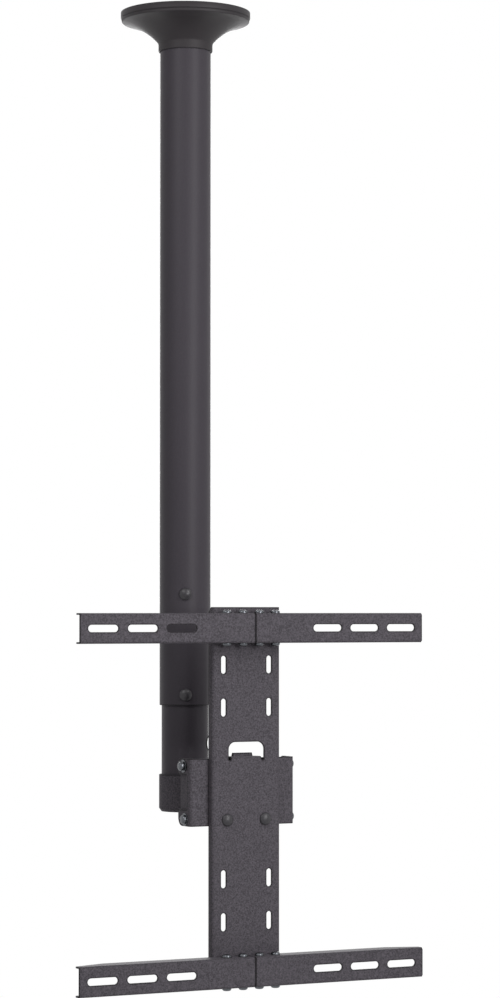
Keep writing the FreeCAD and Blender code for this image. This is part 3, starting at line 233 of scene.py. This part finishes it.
def cross_cutter(length, width, top, depth):
    """The tapered cross that a screwdriver's tip fills, down from the head's top. It
    also stands above the top, so that it cuts cleanly."""
    bm = bmesh.new()
    a = width / 2
    b = length / 2
    outline = [(a, b), (a, a), (b, a), (b, -a), (a, -a), (a, -b)]
    outline += [(-x, -y) for x, y in outline]
    foot_share = 0.62
    top_share = 1.15
    rings = []
    for height, share in ((top - depth, foot_share), (top + depth / 2, top_share)):
        rings.append([bm.verts.new((x * share, y * share, height)) for x, y in outline])
    bm.faces.new(rings[0][::-1])
    bm.faces.new(rings[1])
    for k in range(len(outline)):
        after = (k + 1) % len(outline)
        bm.faces.new((rings[0][k], rings[0][after], rings[1][after], rings[1][k]))
    return bm


def cut(solid, tool):
    """The solid without what the tool takes out of it."""
    sliver = 1e-6
    made = []
    for bm in (solid, tool):
        made.append(bpy.data.objects.new("cut", as_mesh(bm, "cut")))
        bpy.context.scene.collection.objects.link(made[-1])
    taken = made[0].modifiers.new("recess", "BOOLEAN")
    taken.operation = "DIFFERENCE"
    taken.solver = "EXACT"
    taken.object = made[1]
    graph = bpy.context.evaluated_depsgraph_get()
    result = bmesh.new()
    result.from_object(made[0], graph)
    bmesh.ops.dissolve_degenerate(result, edges=result.edges, dist=sliver)
    for piece in made:
        bpy.data.objects.remove(piece)
    return result


def pan_head_screw(head, crown, shank, length):
    """A screw along Z with its head's seat at zero: a domed pan with a cross recess
    and a rolled thread."""
    thread_root = -length * 0.1
    tip_radius = shank * 0.7
    tip_height = shank * 0.3
    seat_edge = crown * 0.08
    crown_edge = crown * 0.72
    wing = head * 0.22
    corners = [(0, -length), (tip_radius, -length)]
    corners += thread(shank, -length + tip_height, thread_root)
    corners += [(shank, thread_root / 2), (shank, 0), (head, 0), (head, crown), (0, crown)]
    last = len(corners)
    body = turned(rounded(corners, {last - 3: seat_edge, last - 2: crown_edge}), 48)
    return cut(body, cross_cutter(head, wing, crown, crown * 0.5))


def join(parts):
    """One mesh from (mesh, matrix) pairs. The source meshes are kept."""
    bm = bmesh.new()
    for source, matrix in parts:
        mesh = source.copy()
        mesh.transform(matrix)
        bm.from_mesh(mesh)
        bpy.data.meshes.remove(mesh)
    return bm


def aimed(spot, direction, turn=0):
    """The matrix that puts something made along Z at a spot, facing a direction."""
    facing = Vector(direction).to_track_quat("Z", "Y").to_matrix().to_4x4()
    return Matrix.Translation(spot) @ facing @ Matrix.Rotation(turn, 4, "Z")


lock_screw = as_mesh(pan_head_screw(LOCK_HEAD, LOCK_CROWN, LOCK_SHANK, LOCK_LENGTH), "lock_screw")
lock_screws = []
for k in range(LOCK_SCREWS):
    around = POLE_TURN + math.tau * k / LOCK_SCREWS
    outward = Vector((math.sin(around), -math.cos(around), 0))
    spot = outward * POLE_RADIUS + Vector((0, 0, LOCK_LEVEL))
    lock_screws.append((lock_screw, aimed(spot, outward, k)))
show(join(lock_screws), "pole_lock_screws_finished", zinc, "pole_lock_screws")

# Outer pole: welded steel tube, 62 mm by 2 mm, with a satin dark grey powder coat.
# On the smooth tube the cured powder flows out to a faint orange peel. Its cut
# ends are deburred.

POLE_LOW, POLE_HIGH = (corner.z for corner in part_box("outer_pole"))
POLE_WALL = 0.002
TUBE_EDGE = 0.0004


def powder_coat(name, shade, grain_size, grain_depth, contrast, roughness):
    """Polyester powder, sprayed and baked: a matt skin whose fine texture makes the
    grey look speckled. A real grain is under a millimetre, and is drawn larger
    where it has to show. Cut edges and the joints between parts get a thin dark
    line of painted shade, drawn where an ambient occlusion look inside the sheet
    finds near faces."""
    cloud_size = 0.05
    edge_width = 0.0019
    material = empty_material(name)
    place = add_node(material, "TexCoord")
    spot = {"Vector": (place, "Object")}
    look = {"Scale": 1 / grain_size, "Detail": 3, "Roughness": 0.6}
    grain = add_node(material, "TexNoise", look, spot)
    clouds = add_node(material, "TexNoise", {"Scale": 1 / cloud_size, "Detail": 2}, spot)
    spread = {"From Min": 0.3, "From Max": 0.7, "To Min": 1 - contrast, "To Max": 1 + contrast}
    speckle = add_node(material, "MapRange", spread, {"Value": (grain, 0)})
    drift = add_node(material, "MapRange", {"To Min": 0.96, "To Max": 1.04}, {"Value": (clouds, 0)})
    both = add_node(material, "Math", {"operation": "MULTIPLY"}, {0: (speckle, 0), 1: (drift, 0)})
    # Painted shade: a thin dark line along cut edges and joints between parts, from ambient
    # occlusion inside the sheet.
    look = {"inside": True, "only_local": True, "samples": 6, "Distance": edge_width}
    edges = add_node(material, "AmbientOcclusion", look)
    spread = {"From Min": 0.65, "From Max": 1, "To Min": 0.1, "To Max": 1}
    painted_edge_shade = add_node(material, "MapRange", spread, {"Value": (edges, "AO")})
    value = add_node(material, "Math", {"operation": "MULTIPLY"}, {0: (both, 0), 1: (painted_edge_shade, 0)})
    colour = add_node(material, "HueSaturation", {"Color": linear(shade)}, {"Value": (value, 0)})
    gloss = {"To Min": roughness - 0.06, "To Max": roughness + 0.06}
    rough = add_node(material, "MapRange", gloss, {"Value": (grain, 0)})
    relief = {"Strength": 0.5, "Distance": grain_depth}
    bump = add_node(material, "Bump", relief, {"Height": (grain, 0)})
    coat = add_node(
        material,
        "BsdfPrincipled",
        {"IOR": 1.5, "Specular IOR Level": 0.15},
        {"Base Color": (colour, 0), "Roughness": (rough, 0), "Normal": (bump, 0)},
    )
    add_node(material, "OutputMaterial", {}, {"Surface": (coat, 0)})
    return material


tube_coat = powder_coat(
    "satin_powder_coat_on_tube",
    "#454147",
    grain_size=0.0016,
    grain_depth=0.00005,
    contrast=0.05,
    roughness=0.46,
)

pole_outline = [
    (POLE_RADIUS, POLE_LOW),
    (POLE_RADIUS, POLE_HIGH),
    (POLE_RADIUS - POLE_WALL, POLE_HIGH),
    (POLE_RADIUS - POLE_WALL, POLE_LOW),
]
pole_profile = rounded(pole_outline, {k: TUBE_EDGE for k in range(4)}, 3)
show(turned(pole_profile, 128), "outer_pole_coated", tube_coat, "outer_pole")

# Height bolts and clamp bar: black oxided steel bolts with plain domed heads. They
# pull a steel bar inside the inner pole against its wall, which holds the height.

BOLT_HEAD = 0.0075
BOLT_RIM = 0.0012
BOLT_CROWN = 0.0046
BOLT_SHANK = 0.004
BOLT_SEAT = -0.001
BOLT_DEBURR = 0.0003
HEIGHT_BOLT_LENGTH = 0.0148


def black_oxide():
    """Hot black oxide, oiled: a thin dark skin that follows the forged metal, so its
    gloss shows the slight unevenness under it."""
    pit_size = 0.0012
    material = empty_material("black_oxide_on_steel")
    place = add_node(material, "TexCoord")
    look = {"Scale": 1 / pit_size, "Detail": 4}
    pits = add_node(material, "TexNoise", look, {"Vector": (place, "Object")})
    tone = add_node(material, "MapRange", {"To Min": 0.85, "To Max": 1.15}, {"Value": (pits, 0)})
    colour = add_node(material, "HueSaturation", {"Color": linear("#343236")}, {"Value": (tone, 0)})
    rough = add_node(material, "MapRange", {"To Min": 0.3, "To Max": 0.48}, {"Value": (pits, 0)})
    bump = add_node(material, "Bump", {"Strength": 0.3, "Distance": 0.00005}, {"Height": (pits, 0)})
    skin = add_node(
        material,
        "BsdfPrincipled",
        {"IOR": 1.6, "Specular IOR Level": 0.35, "Metallic": 0.1},
        {"Base Color": (colour, 0), "Roughness": (rough, 0), "Normal": (bump, 0)},
    )
    add_node(material, "OutputMaterial", {}, {"Surface": (skin, 0)})
    return material


oxide = black_oxide()


def dome_bolt(length):
    """A bolt along Z with its head's seat at zero and a smooth domed head."""
    rise = BOLT_CROWN - BOLT_RIM
    radius = (BOLT_HEAD**2 + rise**2) / (2 * rise)
    inside_rim = 0.985
    spread = math.asin(BOLT_HEAD / radius) * inside_rim
    chamfer = 0.001
    thread_root = -length * 0.35
    profile = [(0, -length), (BOLT_SHANK - chamfer, -length)]
    profile += thread(BOLT_SHANK, -length + chamfer, thread_root, pitch=0.00125, depth=0.0005)
    profile += [
        (BOLT_SHANK, -length * 0.3),
        (BOLT_SHANK, BOLT_SEAT),
        (BOLT_HEAD - BOLT_DEBURR, BOLT_SEAT),
        (BOLT_HEAD, BOLT_SEAT + BOLT_DEBURR),
        (BOLT_HEAD, BOLT_RIM - BOLT_DEBURR),
    ]
    steps = 14
    for k in range(1, steps + 1):
        angle = spread * (1 - k / steps)
        profile.append((radius * math.sin(angle), BOLT_CROWN - radius * (1 - math.cos(angle))))
    return turned(profile, 64)


pole_front = Vector((math.sin(POLE_TURN), -math.cos(POLE_TURN), 0))
for level in ("upper", "lower"):
    node = level + "_height_bolt"
    low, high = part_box(node)
    spot = pole_front * POLE_RADIUS + Vector((0, 0, (low.z + high.z) / 2))
    bolt = dome_bolt(HEIGHT_BOLT_LENGTH)
    bolt.transform(aimed(spot, pole_front))
    show(bolt, node + "_finished", oxide, node)
eased("clamp_bar", zinc)

# Canopy: an injection-moulded ABS bell in satin black that slides on the pole and
# hides the ceiling plate. A grip ring of rubber in its neck holds it up. It has a
# thin rim with a shadow groove under it.

CANOPY_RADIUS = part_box("canopy_cover")[1].y
CANOPY_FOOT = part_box("canopy_cover")[0].z
CANOPY_RIM = 0.0073
CANOPY_GROOVE = 0.001
GROOVE_BED = CANOPY_RADIUS - 0.0014
CANOPY_BAND = CANOPY_RADIUS - 0.001
CANOPY_BAND_FOOT = -0.011
CANOPY_WALL = 0.002
CANOPY_SWEEP = 0.076
NECK_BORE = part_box("canopy_grip_ring")[1].x
NECK_WALL = 0.0015
NECK_RADIUS = NECK_BORE + NECK_WALL
NECK_TOP = -0.0378
NECK_BEAD = 0.0004
BEAD_PEAK = NECK_TOP - 0.0006
BEAD_FOOT = NECK_TOP - 0.0014
NECK_CHAMFER = 0.0004
CHAMFER_HEIGHT = 0.0012
GRIP_GAP = 0.0001


def moulded_abs(name, shade, roughness):
    """Injection-moulded ABS: a spark-eroded tool leaves a fine even grain, and the
    gloss drifts a little with the wall's thickness. Moulded nylon looks the same."""
    grain_size = 0.0006
    drift_size = 0.03
    material = empty_material(name)
    place = add_node(material, "TexCoord")
    spot = {"Vector": (place, "Object")}
    grain = add_node(material, "TexNoise", {"Scale": 1 / grain_size, "Detail": 2}, spot)
    drift = add_node(material, "TexNoise", {"Scale": 1 / drift_size, "Detail": 2}, spot)
    tone = add_node(material, "MapRange", {"To Min": 0.93, "To Max": 1.07}, {"Value": (drift, 0)})
    colour = add_node(material, "HueSaturation", {"Color": linear(shade)}, {"Value": (tone, 0)})
    gloss = {"To Min": roughness - 0.05, "To Max": roughness + 0.05}
    rough = add_node(material, "MapRange", gloss, {"Value": (drift, 0)})
    relief = {"Strength": 0.2, "Distance": 0.00003}
    bump = add_node(material, "Bump", relief, {"Height": (grain, 0)})
    plastic = add_node(
        material,
        "BsdfPrincipled",
        {"IOR": 1.53, "Specular IOR Level": 0.3},
        {"Base Color": (colour, 0), "Roughness": (rough, 0), "Normal": (bump, 0)},
    )
    add_node(material, "OutputMaterial", {}, {"Surface": (plastic, 0)})
    return material


def sweep(start, end, radius, steps=28):
    """Points along an arc from start to end that bows away from the left hand."""
    a = Vector(start)
    b = Vector(end)
    run = b - a
    right = Vector((run.y, -run.x)).normalized()
    centre = (a + b) / 2 - right * math.sqrt(radius**2 - run.length_squared / 4)
    turns = [(a - centre).slerp(b - centre, k / steps) for k in range(steps + 1)]
    return [tuple(centre + turn * radius) for turn in turns]


canopy_black = moulded_abs("satin_moulded_abs", "#2c282b", 0.58)
under_groove = -(CANOPY_RIM + CANOPY_GROOVE)
outside = [
    (CANOPY_RADIUS, 0),
    (CANOPY_RADIUS, -CANOPY_RIM),
    (GROOVE_BED, -CANOPY_RIM),
    (GROOVE_BED, under_groove),
    (CANOPY_BAND, under_groove),
    (CANOPY_BAND, CANOPY_BAND_FOOT),
]
edge_radii = {1: 0.0006, 4: 0.0005, 5: 0.0016}
outside = rounded(outside + [(NECK_RADIUS, NECK_TOP)], edge_radii, 6)[:-1]
flank = sweep(outside[-1], (NECK_RADIUS, NECK_TOP), CANOPY_SWEEP)
neck = [
    (NECK_RADIUS + NECK_BEAD, BEAD_PEAK),
    (NECK_RADIUS, BEAD_FOOT),
    (NECK_RADIUS, CANOPY_FOOT + CHAMFER_HEIGHT),
    (NECK_RADIUS - NECK_CHAMFER, CANOPY_FOOT),
    (NECK_BORE, CANOPY_FOOT),
]
bore = CANOPY_BAND - CANOPY_WALL
inner_start = (NECK_BORE, NECK_TOP + NECK_WALL / 2)
inner_end = (bore, CANOPY_BAND_FOOT + CANOPY_WALL)
inside_flank = sweep(inner_end, inner_start, CANOPY_SWEEP + CANOPY_WALL)[::-1]
canopy_profile = outside + flank[1:] + neck + inside_flank + [(bore, 0)]
show(turned(canopy_profile, 144), "canopy_cover_moulded", canopy_black, "canopy_cover")


def moulded_rubber():
    """Moulded black rubber, EPDM: deep matt with a trace of bloom."""
    bloom_size = 0.006
    material = empty_material("moulded_epdm_rubber")
    place = add_node(material, "TexCoord")
    look = {"Scale": 1 / bloom_size, "Detail": 5}
    bloom = add_node(material, "TexNoise", look, {"Vector": (place, "Object")})
    tone = add_node(material, "MapRange", {"To Min": 0.8, "To Max": 1.25}, {"Value": (bloom, 0)})
    colour = add_node(material, "HueSaturation", {"Color": linear("#2a292b")}, {"Value": (tone, 0)})
    relief = {"Strength": 0.2, "Distance": 0.00005}
    bump = add_node(material, "Bump", relief, {"Height": (bloom, 0)})
    links = {"Base Color": (colour, 0), "Normal": (bump, 0)}
    rubber = add_node(material, "BsdfPrincipled", {"Roughness": 0.75, "IOR": 1.52}, links)
    add_node(material, "OutputMaterial", {}, {"Surface": (rubber, 0)})
    return material


epdm = moulded_rubber()
grip_foot, grip_top = (corner.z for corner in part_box("canopy_grip_ring"))
grip_bore = POLE_RADIUS + GRIP_GAP
grip_outline = [
    (grip_bore, grip_foot),
    (NECK_BORE, grip_foot),
    (NECK_BORE, grip_top),
    (grip_bore, grip_top),
]
grip_profile = rounded(grip_outline, {k: CUT_EDGE for k in range(4)}, 3)
show(turned(grip_profile, 128), "canopy_grip_ring_moulded", epdm, "canopy_grip_ring")

# Inner pole: a second coated steel tube, with a long slot for the height bolts and
# an oval cable exit with a rubber grommet. A nylon cap guides its top, and a steel
# plug welded in its foot carries the swivel.

FINE_EDGE = 0.0002

eased("inner_pole", tube_coat, FINE_EDGE)
eased("cable_grommet", epdm, FINE_EDGE)
black_nylon = moulded_abs("moulded_black_nylon", "#38373a", 0.5)
eased("pole_top_cap", black_nylon)
eased("pole_end_plug", zinc)

# Swivel: a turned steel cup, coated like the sheet parts, that hangs on one bolt
# under the inner pole and turns on a nylon bush and washer.

CUP_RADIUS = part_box("swivel_sleeve")[1].x
CUP_BORE = CUP_RADIUS - 0.002
CUP_FOOT, CUP_TOP = (corner.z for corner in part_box("swivel_sleeve"))
CUP_FLOOR = 0.006
CUP_EDGE_WIDTH = 0.003
CUP_EDGE_HEIGHT = 0.004
SWIVEL_BORE = 0.00505
CONE_DEPTH = 0.005
BOLT_EDGE = 0.00025

sheet_coat = powder_coat(
    "textured_powder_coat_on_sheet",
    "#555157",
    grain_size=0.0017,
    grain_depth=0.00012,
    contrast=0.5,
    roughness=0.66,
)
cup_outline = [
    (SWIVEL_BORE, CUP_FOOT + CUP_FLOOR),
    (CUP_BORE, CUP_FOOT + CUP_FLOOR),
    (CUP_BORE, CUP_TOP),
    (CUP_RADIUS, CUP_TOP),
    (CUP_RADIUS, CUP_FOOT + CUP_EDGE_HEIGHT),
    (CUP_RADIUS - CUP_EDGE_WIDTH, CUP_FOOT),
    (SWIVEL_BORE + CONE_DEPTH, CUP_FOOT),
    (SWIVEL_BORE, CUP_FOOT + CONE_DEPTH),
]
cup_profile = rounded(cup_outline, {2: 0.0003, 3: 0.0008, 4: 0.001, 5: 0.001, 6: 0.0003})
show(turned(cup_profile, 128), "swivel_sleeve_coated", sheet_coat, "swivel_sleeve")
eased("swivel_bush", black_nylon)
eased("thrust_washer", black_nylon)
eased("friction_washer", zinc, FINE_EDGE)
eased("swivel_nut", zinc)
eased("swivel_bolt", oxide, BOLT_EDGE)

# Boom and swivel bracket: box section and a folded channel, welded together and to
# the cup, then coated. The weld's ripples still show through the powder.

WELD_RADIUS = 0.0022
WELD_RIPPLE = 0.0018
BOOM_CORNER = 0.002
BOOM_EDGE = 0.0012

eased("swivel_boom", sheet_coat, BOOM_EDGE, 3)
eased("swivel_bracket", sheet_coat)


def weld_bead(path):
    """A rippled weld bead along a closed path."""
    loop = [Vector(point) for point in path]
    bm = bmesh.new()
    sides = 10
    rings = []
    travelled = 0
    for k, spot in enumerate(loop):
        along = (loop[(k + 1) % len(loop)] - loop[k - 1]).normalized()
        across = along.orthogonal().normalized()
        up = along.cross(across)
        phase = travelled / WELD_RIPPLE * math.tau
        size = WELD_RADIUS * (0.92 + 0.1 * math.sin(phase))
        ring = []
        for side in range(sides):
            angle = math.tau * side / sides
            outward = across * math.cos(angle) + up * math.sin(angle)
            ring.append(bm.verts.new(spot + outward * size))
        rings.append(ring)
        travelled += (loop[(k + 1) % len(loop)] - spot).length
    for k, ring in enumerate(rings):
        after = rings[(k + 1) % len(rings)]
        start = min(range(sides), key=lambda side: (after[side].co - ring[0].co).length)
        for side in range(sides):
            one = after[(start + side) % sides]
            two = after[(start + side + 1) % sides]
            bm.faces.new((ring[side], ring[(side + 1) % sides], two, one))
    bmesh.ops.recalc_face_normals(bm, faces=bm.faces)
    return bm


def around_boom(back):
    """The boom's outline as closely spaced points, with their depth from back(x)."""
    low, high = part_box("swivel_boom")
    step = 0.0006
    section = [(low.x, low.z), (high.x, low.z), (high.x, high.z), (low.x, high.z)]
    points = rounded(section, {k: BOOM_CORNER for k in range(4)})
    path = []
    for k, start in enumerate(points):
        end = points[(k + 1) % len(points)]
        count = max(1, round(math.dist(start, end) / step))
        for part in range(count):
            x = start[0] + (end[0] - start[0]) * part / count
            z = start[1] + (end[1] - start[1]) * part / count
            path.append((x, back(x), z))
    return path


bracket_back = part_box("swivel_bracket")[1].y
beads = (
    ("boom_to_bracket_weld", lambda x: bracket_back),
    ("boom_to_cup_weld", lambda x: -math.sqrt(CUP_RADIUS**2 - x**2)),
)
for name, back in beads:
    mesh = as_mesh(weld_bead(around_boom(back)), name)
    mesh.materials.append(sheet_coat)
    mesh.shade_smooth()
    bead = bpy.data.objects.new(name, mesh)
    bpy.context.scene.collection.objects.link(bead)
    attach(bead, "swivel_head")

# Tilt bracket: 3 mm sheet steel, laser cut and folded, with notched sides, a tongue
# on top and an arc slot for the lock bolts. Textured powder coat.

eased("tilt_bracket", sheet_coat)

# Tilt fasteners: cross-recessed pan-head screws, washers and nuts in bright zinc.
# The lower pair are the pivot, and the upper pair, with spring washers, the lock.

TILT_HEAD = 0.0055
TILT_CROWN = 0.004
TILT_SHANK = 0.003
NUT_EDGE = 0.0004
FIRST_TURN = 0.4

for number, node in enumerate(
    ("left_tilt_lock_bolt", "left_tilt_pivot_bolt", "right_tilt_lock_bolt", "right_tilt_pivot_bolt")
):
    low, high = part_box(node)
    side = -1 if node.startswith("left") else 1
    outer = low.x if side < 0 else high.x
    seat = outer - side * TILT_CROWN
    spot = (seat, (low.y + high.y) / 2, (low.z + high.z) / 2)
    screw = pan_head_screw(TILT_HEAD, TILT_CROWN, TILT_SHANK, high.x - low.x - TILT_CROWN)
    screw.transform(aimed(spot, (side, 0, 0), FIRST_TURN + number))
    show(screw, node + "_finished", zinc, node)
eased("tilt_flat_washers", zinc, FINE_EDGE)
eased("lock_spring_washers", zinc, FINE_EDGE)
eased("tilt_nuts", zinc, NUT_EDGE)

# Backbone: a long channel of 2 mm sheet, laser cut and folded, with a flap bent back
# out of its window that hooks over the tilt bracket. Two domed bolts through
# spacers hold its lower half.

eased("backbone", sheet_coat)
eased("backbone_spacers", zinc)
eased("backbone_nuts", zinc, NUT_EDGE)
for word in ("left", "right"):
    node = word + "_backbone_bolt"
    low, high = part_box(node)
    seat = low.y + BOLT_CROWN
    bolt = dome_bolt(high.y - seat)
    bolt.transform(aimed(((low.x + high.x) / 2, seat, (low.z + high.z) / 2), (0, -1, 0)))
    show(bolt, node + "_finished", oxide, node)

# Arms: four folded channels of 2 mm sheet with tapered ends and three slots each,
# over folded carriers that are welded to the backbone. Zinc plated pan-head screws
# hold each pair of arms from above and below.

ARM_HEAD = 0.0055
ARM_CROWN = 0.0036
ARM_SHANK = 0.0025
ARM_SCREWS = 4
ARM_SCREW_LENGTH = 0.0075
TURN_STEP = 0.7

arm_screw = as_mesh(pan_head_screw(ARM_HEAD, ARM_CROWN, ARM_SHANK, ARM_SCREW_LENGTH), "arm_screw")
for level in ("upper", "lower"):
    eased(level + "_arm_carrier", sheet_coat)
    for word in ("left", "right"):
        eased(f"{level}_{word}_arm", sheet_coat)
    for word, way in (("top", 1), ("underside", -1)):
        node = f"{level}_arm_{word}_screws"
        low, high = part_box(node)
        seat = high.z - ARM_CROWN if way > 0 else low.z + ARM_CROWN
        pitch = (high.x - low.x - 2 * ARM_HEAD) / (ARM_SCREWS - 1)
        row = []
        for k in range(ARM_SCREWS):
            spot = (low.x + ARM_HEAD + pitch * k, (low.y + high.y) / 2, seat)
            row.append((arm_screw, aimed(spot, (0, 0, way), TURN_STEP * k + way)))
        show(join(row), node + "_finished", zinc, node)

# Studio: a pale floor under the hanging mount, a white surround, a soft box in
# front, a tall one to the right that draws the pole's highlight, a small one to the
# left and one behind for the far side.

POLE_TRAVEL = 0.48
FLOOR_CLEARANCE = 0.1
FLOOR_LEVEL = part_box("lower_left_arm")[0].z - POLE_TRAVEL - FLOOR_CLEARANCE
FLOOR_SIZE = 30
FLOOR_NEAR = 0.7
FLOOR_FAR = 1.8
FLOOR_GLOW = 0.7


def pale_floor():
    """Painted studio floor. Near the object it is a pale matt paint that takes the
    shadow, and further out and in reflections it runs into the white surround.
    From below it is clear, so that the mount's underside can be seen."""
    material = empty_material("pale_studio_paint")
    place = add_node(material, "TexCoord")
    reach = add_node(material, "VectorMath", {"operation": "LENGTH"}, {0: (place, "Object")})
    spread = {"From Min": FLOOR_NEAR, "From Max": FLOOR_FAR, "To Min": FLOOR_GLOW}
    away = add_node(material, "MapRange", spread, {"Value": (reach, "Value")})
    rays = add_node(material, "LightPath")
    largest = {"operation": "MAXIMUM"}
    ways = {0: (rays, "Is Glossy Ray"), 1: (rays, "Is Transmission Ray")}
    mirrored = add_node(material, "Math", largest, ways)
    ways = {0: (away, 0), 1: (rays, "Is Camera Ray")}
    direct = add_node(material, "Math", {"operation": "MULTIPLY"}, ways)
    seen = add_node(material, "Math", largest, {0: (direct, 0), 1: (mirrored, 0)})
    paint = add_node(material, "BsdfDiffuse", {"Color": linear("#f3f3f2")})
    white = add_node(material, "Emission", {"Color": linear("#ffffff"), "Strength": 1})
    above = add_node(material, "MixShader", {}, {0: (seen, 0), 1: (paint, 0), 2: (white, 0)})
    face = add_node(material, "NewGeometry")
    clear = add_node(material, "BsdfTransparent")
    sides = {0: (face, "Backfacing"), 1: (above, 0), 2: (clear, 0)}
    both = add_node(material, "MixShader", {}, sides)
    add_node(material, "OutputMaterial", {}, {"Surface": (both, 0)})
    return material


bm = bmesh.new()
bmesh.ops.create_grid(bm, x_segments=1, y_segments=1, size=FLOOR_SIZE / 2)
floor = bpy.data.objects.new("floor", as_mesh(bm, "floor"))
floor.location.z = FLOOR_LEVEL
floor.data.materials.append(pale_floor())
bpy.context.scene.collection.objects.link(floor)

SURROUND_FILL = 0.15
world = bpy.data.worlds.new("white_surround")
world.use_nodes = True
world.node_tree.nodes.clear()
bpy.context.scene.world = world
rays = add_node(world, "LightPath")
largest = {"operation": "MAXIMUM"}
ways = {0: (rays, "Is Glossy Ray"), 1: (rays, "Is Transmission Ray")}
mirrored = add_node(world, "Math", largest, ways)
shown = add_node(world, "Math", largest, {0: (rays, "Is Camera Ray"), 1: (mirrored, 0)})
light = add_node(world, "MapRange", {"To Min": SURROUND_FILL}, {"Value": (shown, 0)})
surround = add_node(world, "Background", {"Color": linear("#ffffff")}, {"Strength": (light, 0)})
add_node(world, "OutputWorld", {}, {"Surface": (surround, 0)})

# Each soft box: its name, place, width and height in metres, and watts.
MIDDLE = Vector((0, -0.1, -0.6))
SOFT_BOXES = (
    ("front_soft_box", (0.2, -2.4, -0.5), 0.6, 0.6, 17),
    ("right_strip_box", (0.62, -1.75, 0.35), 0.3, 1.2, 15),
    ("left_soft_box", (-1.04, -0.6, 0.2), 0.5, 0.5, 4.5),
    ("back_soft_box", (1.2, 2.4, -0.2), 1.2, 1.2, 24),
)
for name, spot, width, height, power in SOFT_BOXES:
    lamp = bpy.data.lights.new(name, "AREA")
    lamp.shape = "RECTANGLE"
    lamp.size = width
    lamp.size_y = height
    lamp.energy = power
    box = bpy.data.objects.new(name, lamp)
    box.location = spot
    box.visible_camera = False
    box.rotation_mode = "QUATERNION"
    box.rotation_quaternion = (MIDDLE - Vector(spot)).to_track_quat("-Z", "Y")
    bpy.context.scene.collection.objects.link(box)

# Camera: in front and to the left of the mount and a little below its middle. It
# looks up slightly, with a long lens.

CAMERA_SPOT = Vector((-1.6833, -3.3886, -0.7357))
CAMERA_AHEAD = Vector((0.46356, 0.88607, 0))
CAMERA_PITCH = math.radians(2.09)
CAMERA_LENS = 111.65
CAMERA_REACH = 60

camera_data = bpy.data.cameras.new("camera")
camera_data.lens = CAMERA_LENS
camera_data.clip_end = CAMERA_REACH
camera = bpy.data.objects.new("camera", camera_data)
camera.location = CAMERA_SPOT
camera.rotation_mode = "QUATERNION"
rise = Vector((0, 0, math.sin(CAMERA_PITCH)))
looking = CAMERA_AHEAD.normalized() * math.cos(CAMERA_PITCH) + rise
camera.rotation_quaternion = looking.to_track_quat("-Z", "Y")
bpy.context.scene.collection.objects.link(camera)
bpy.context.scene.camera = camera
bpy.context.scene.view_settings.view_transform = "Standard"
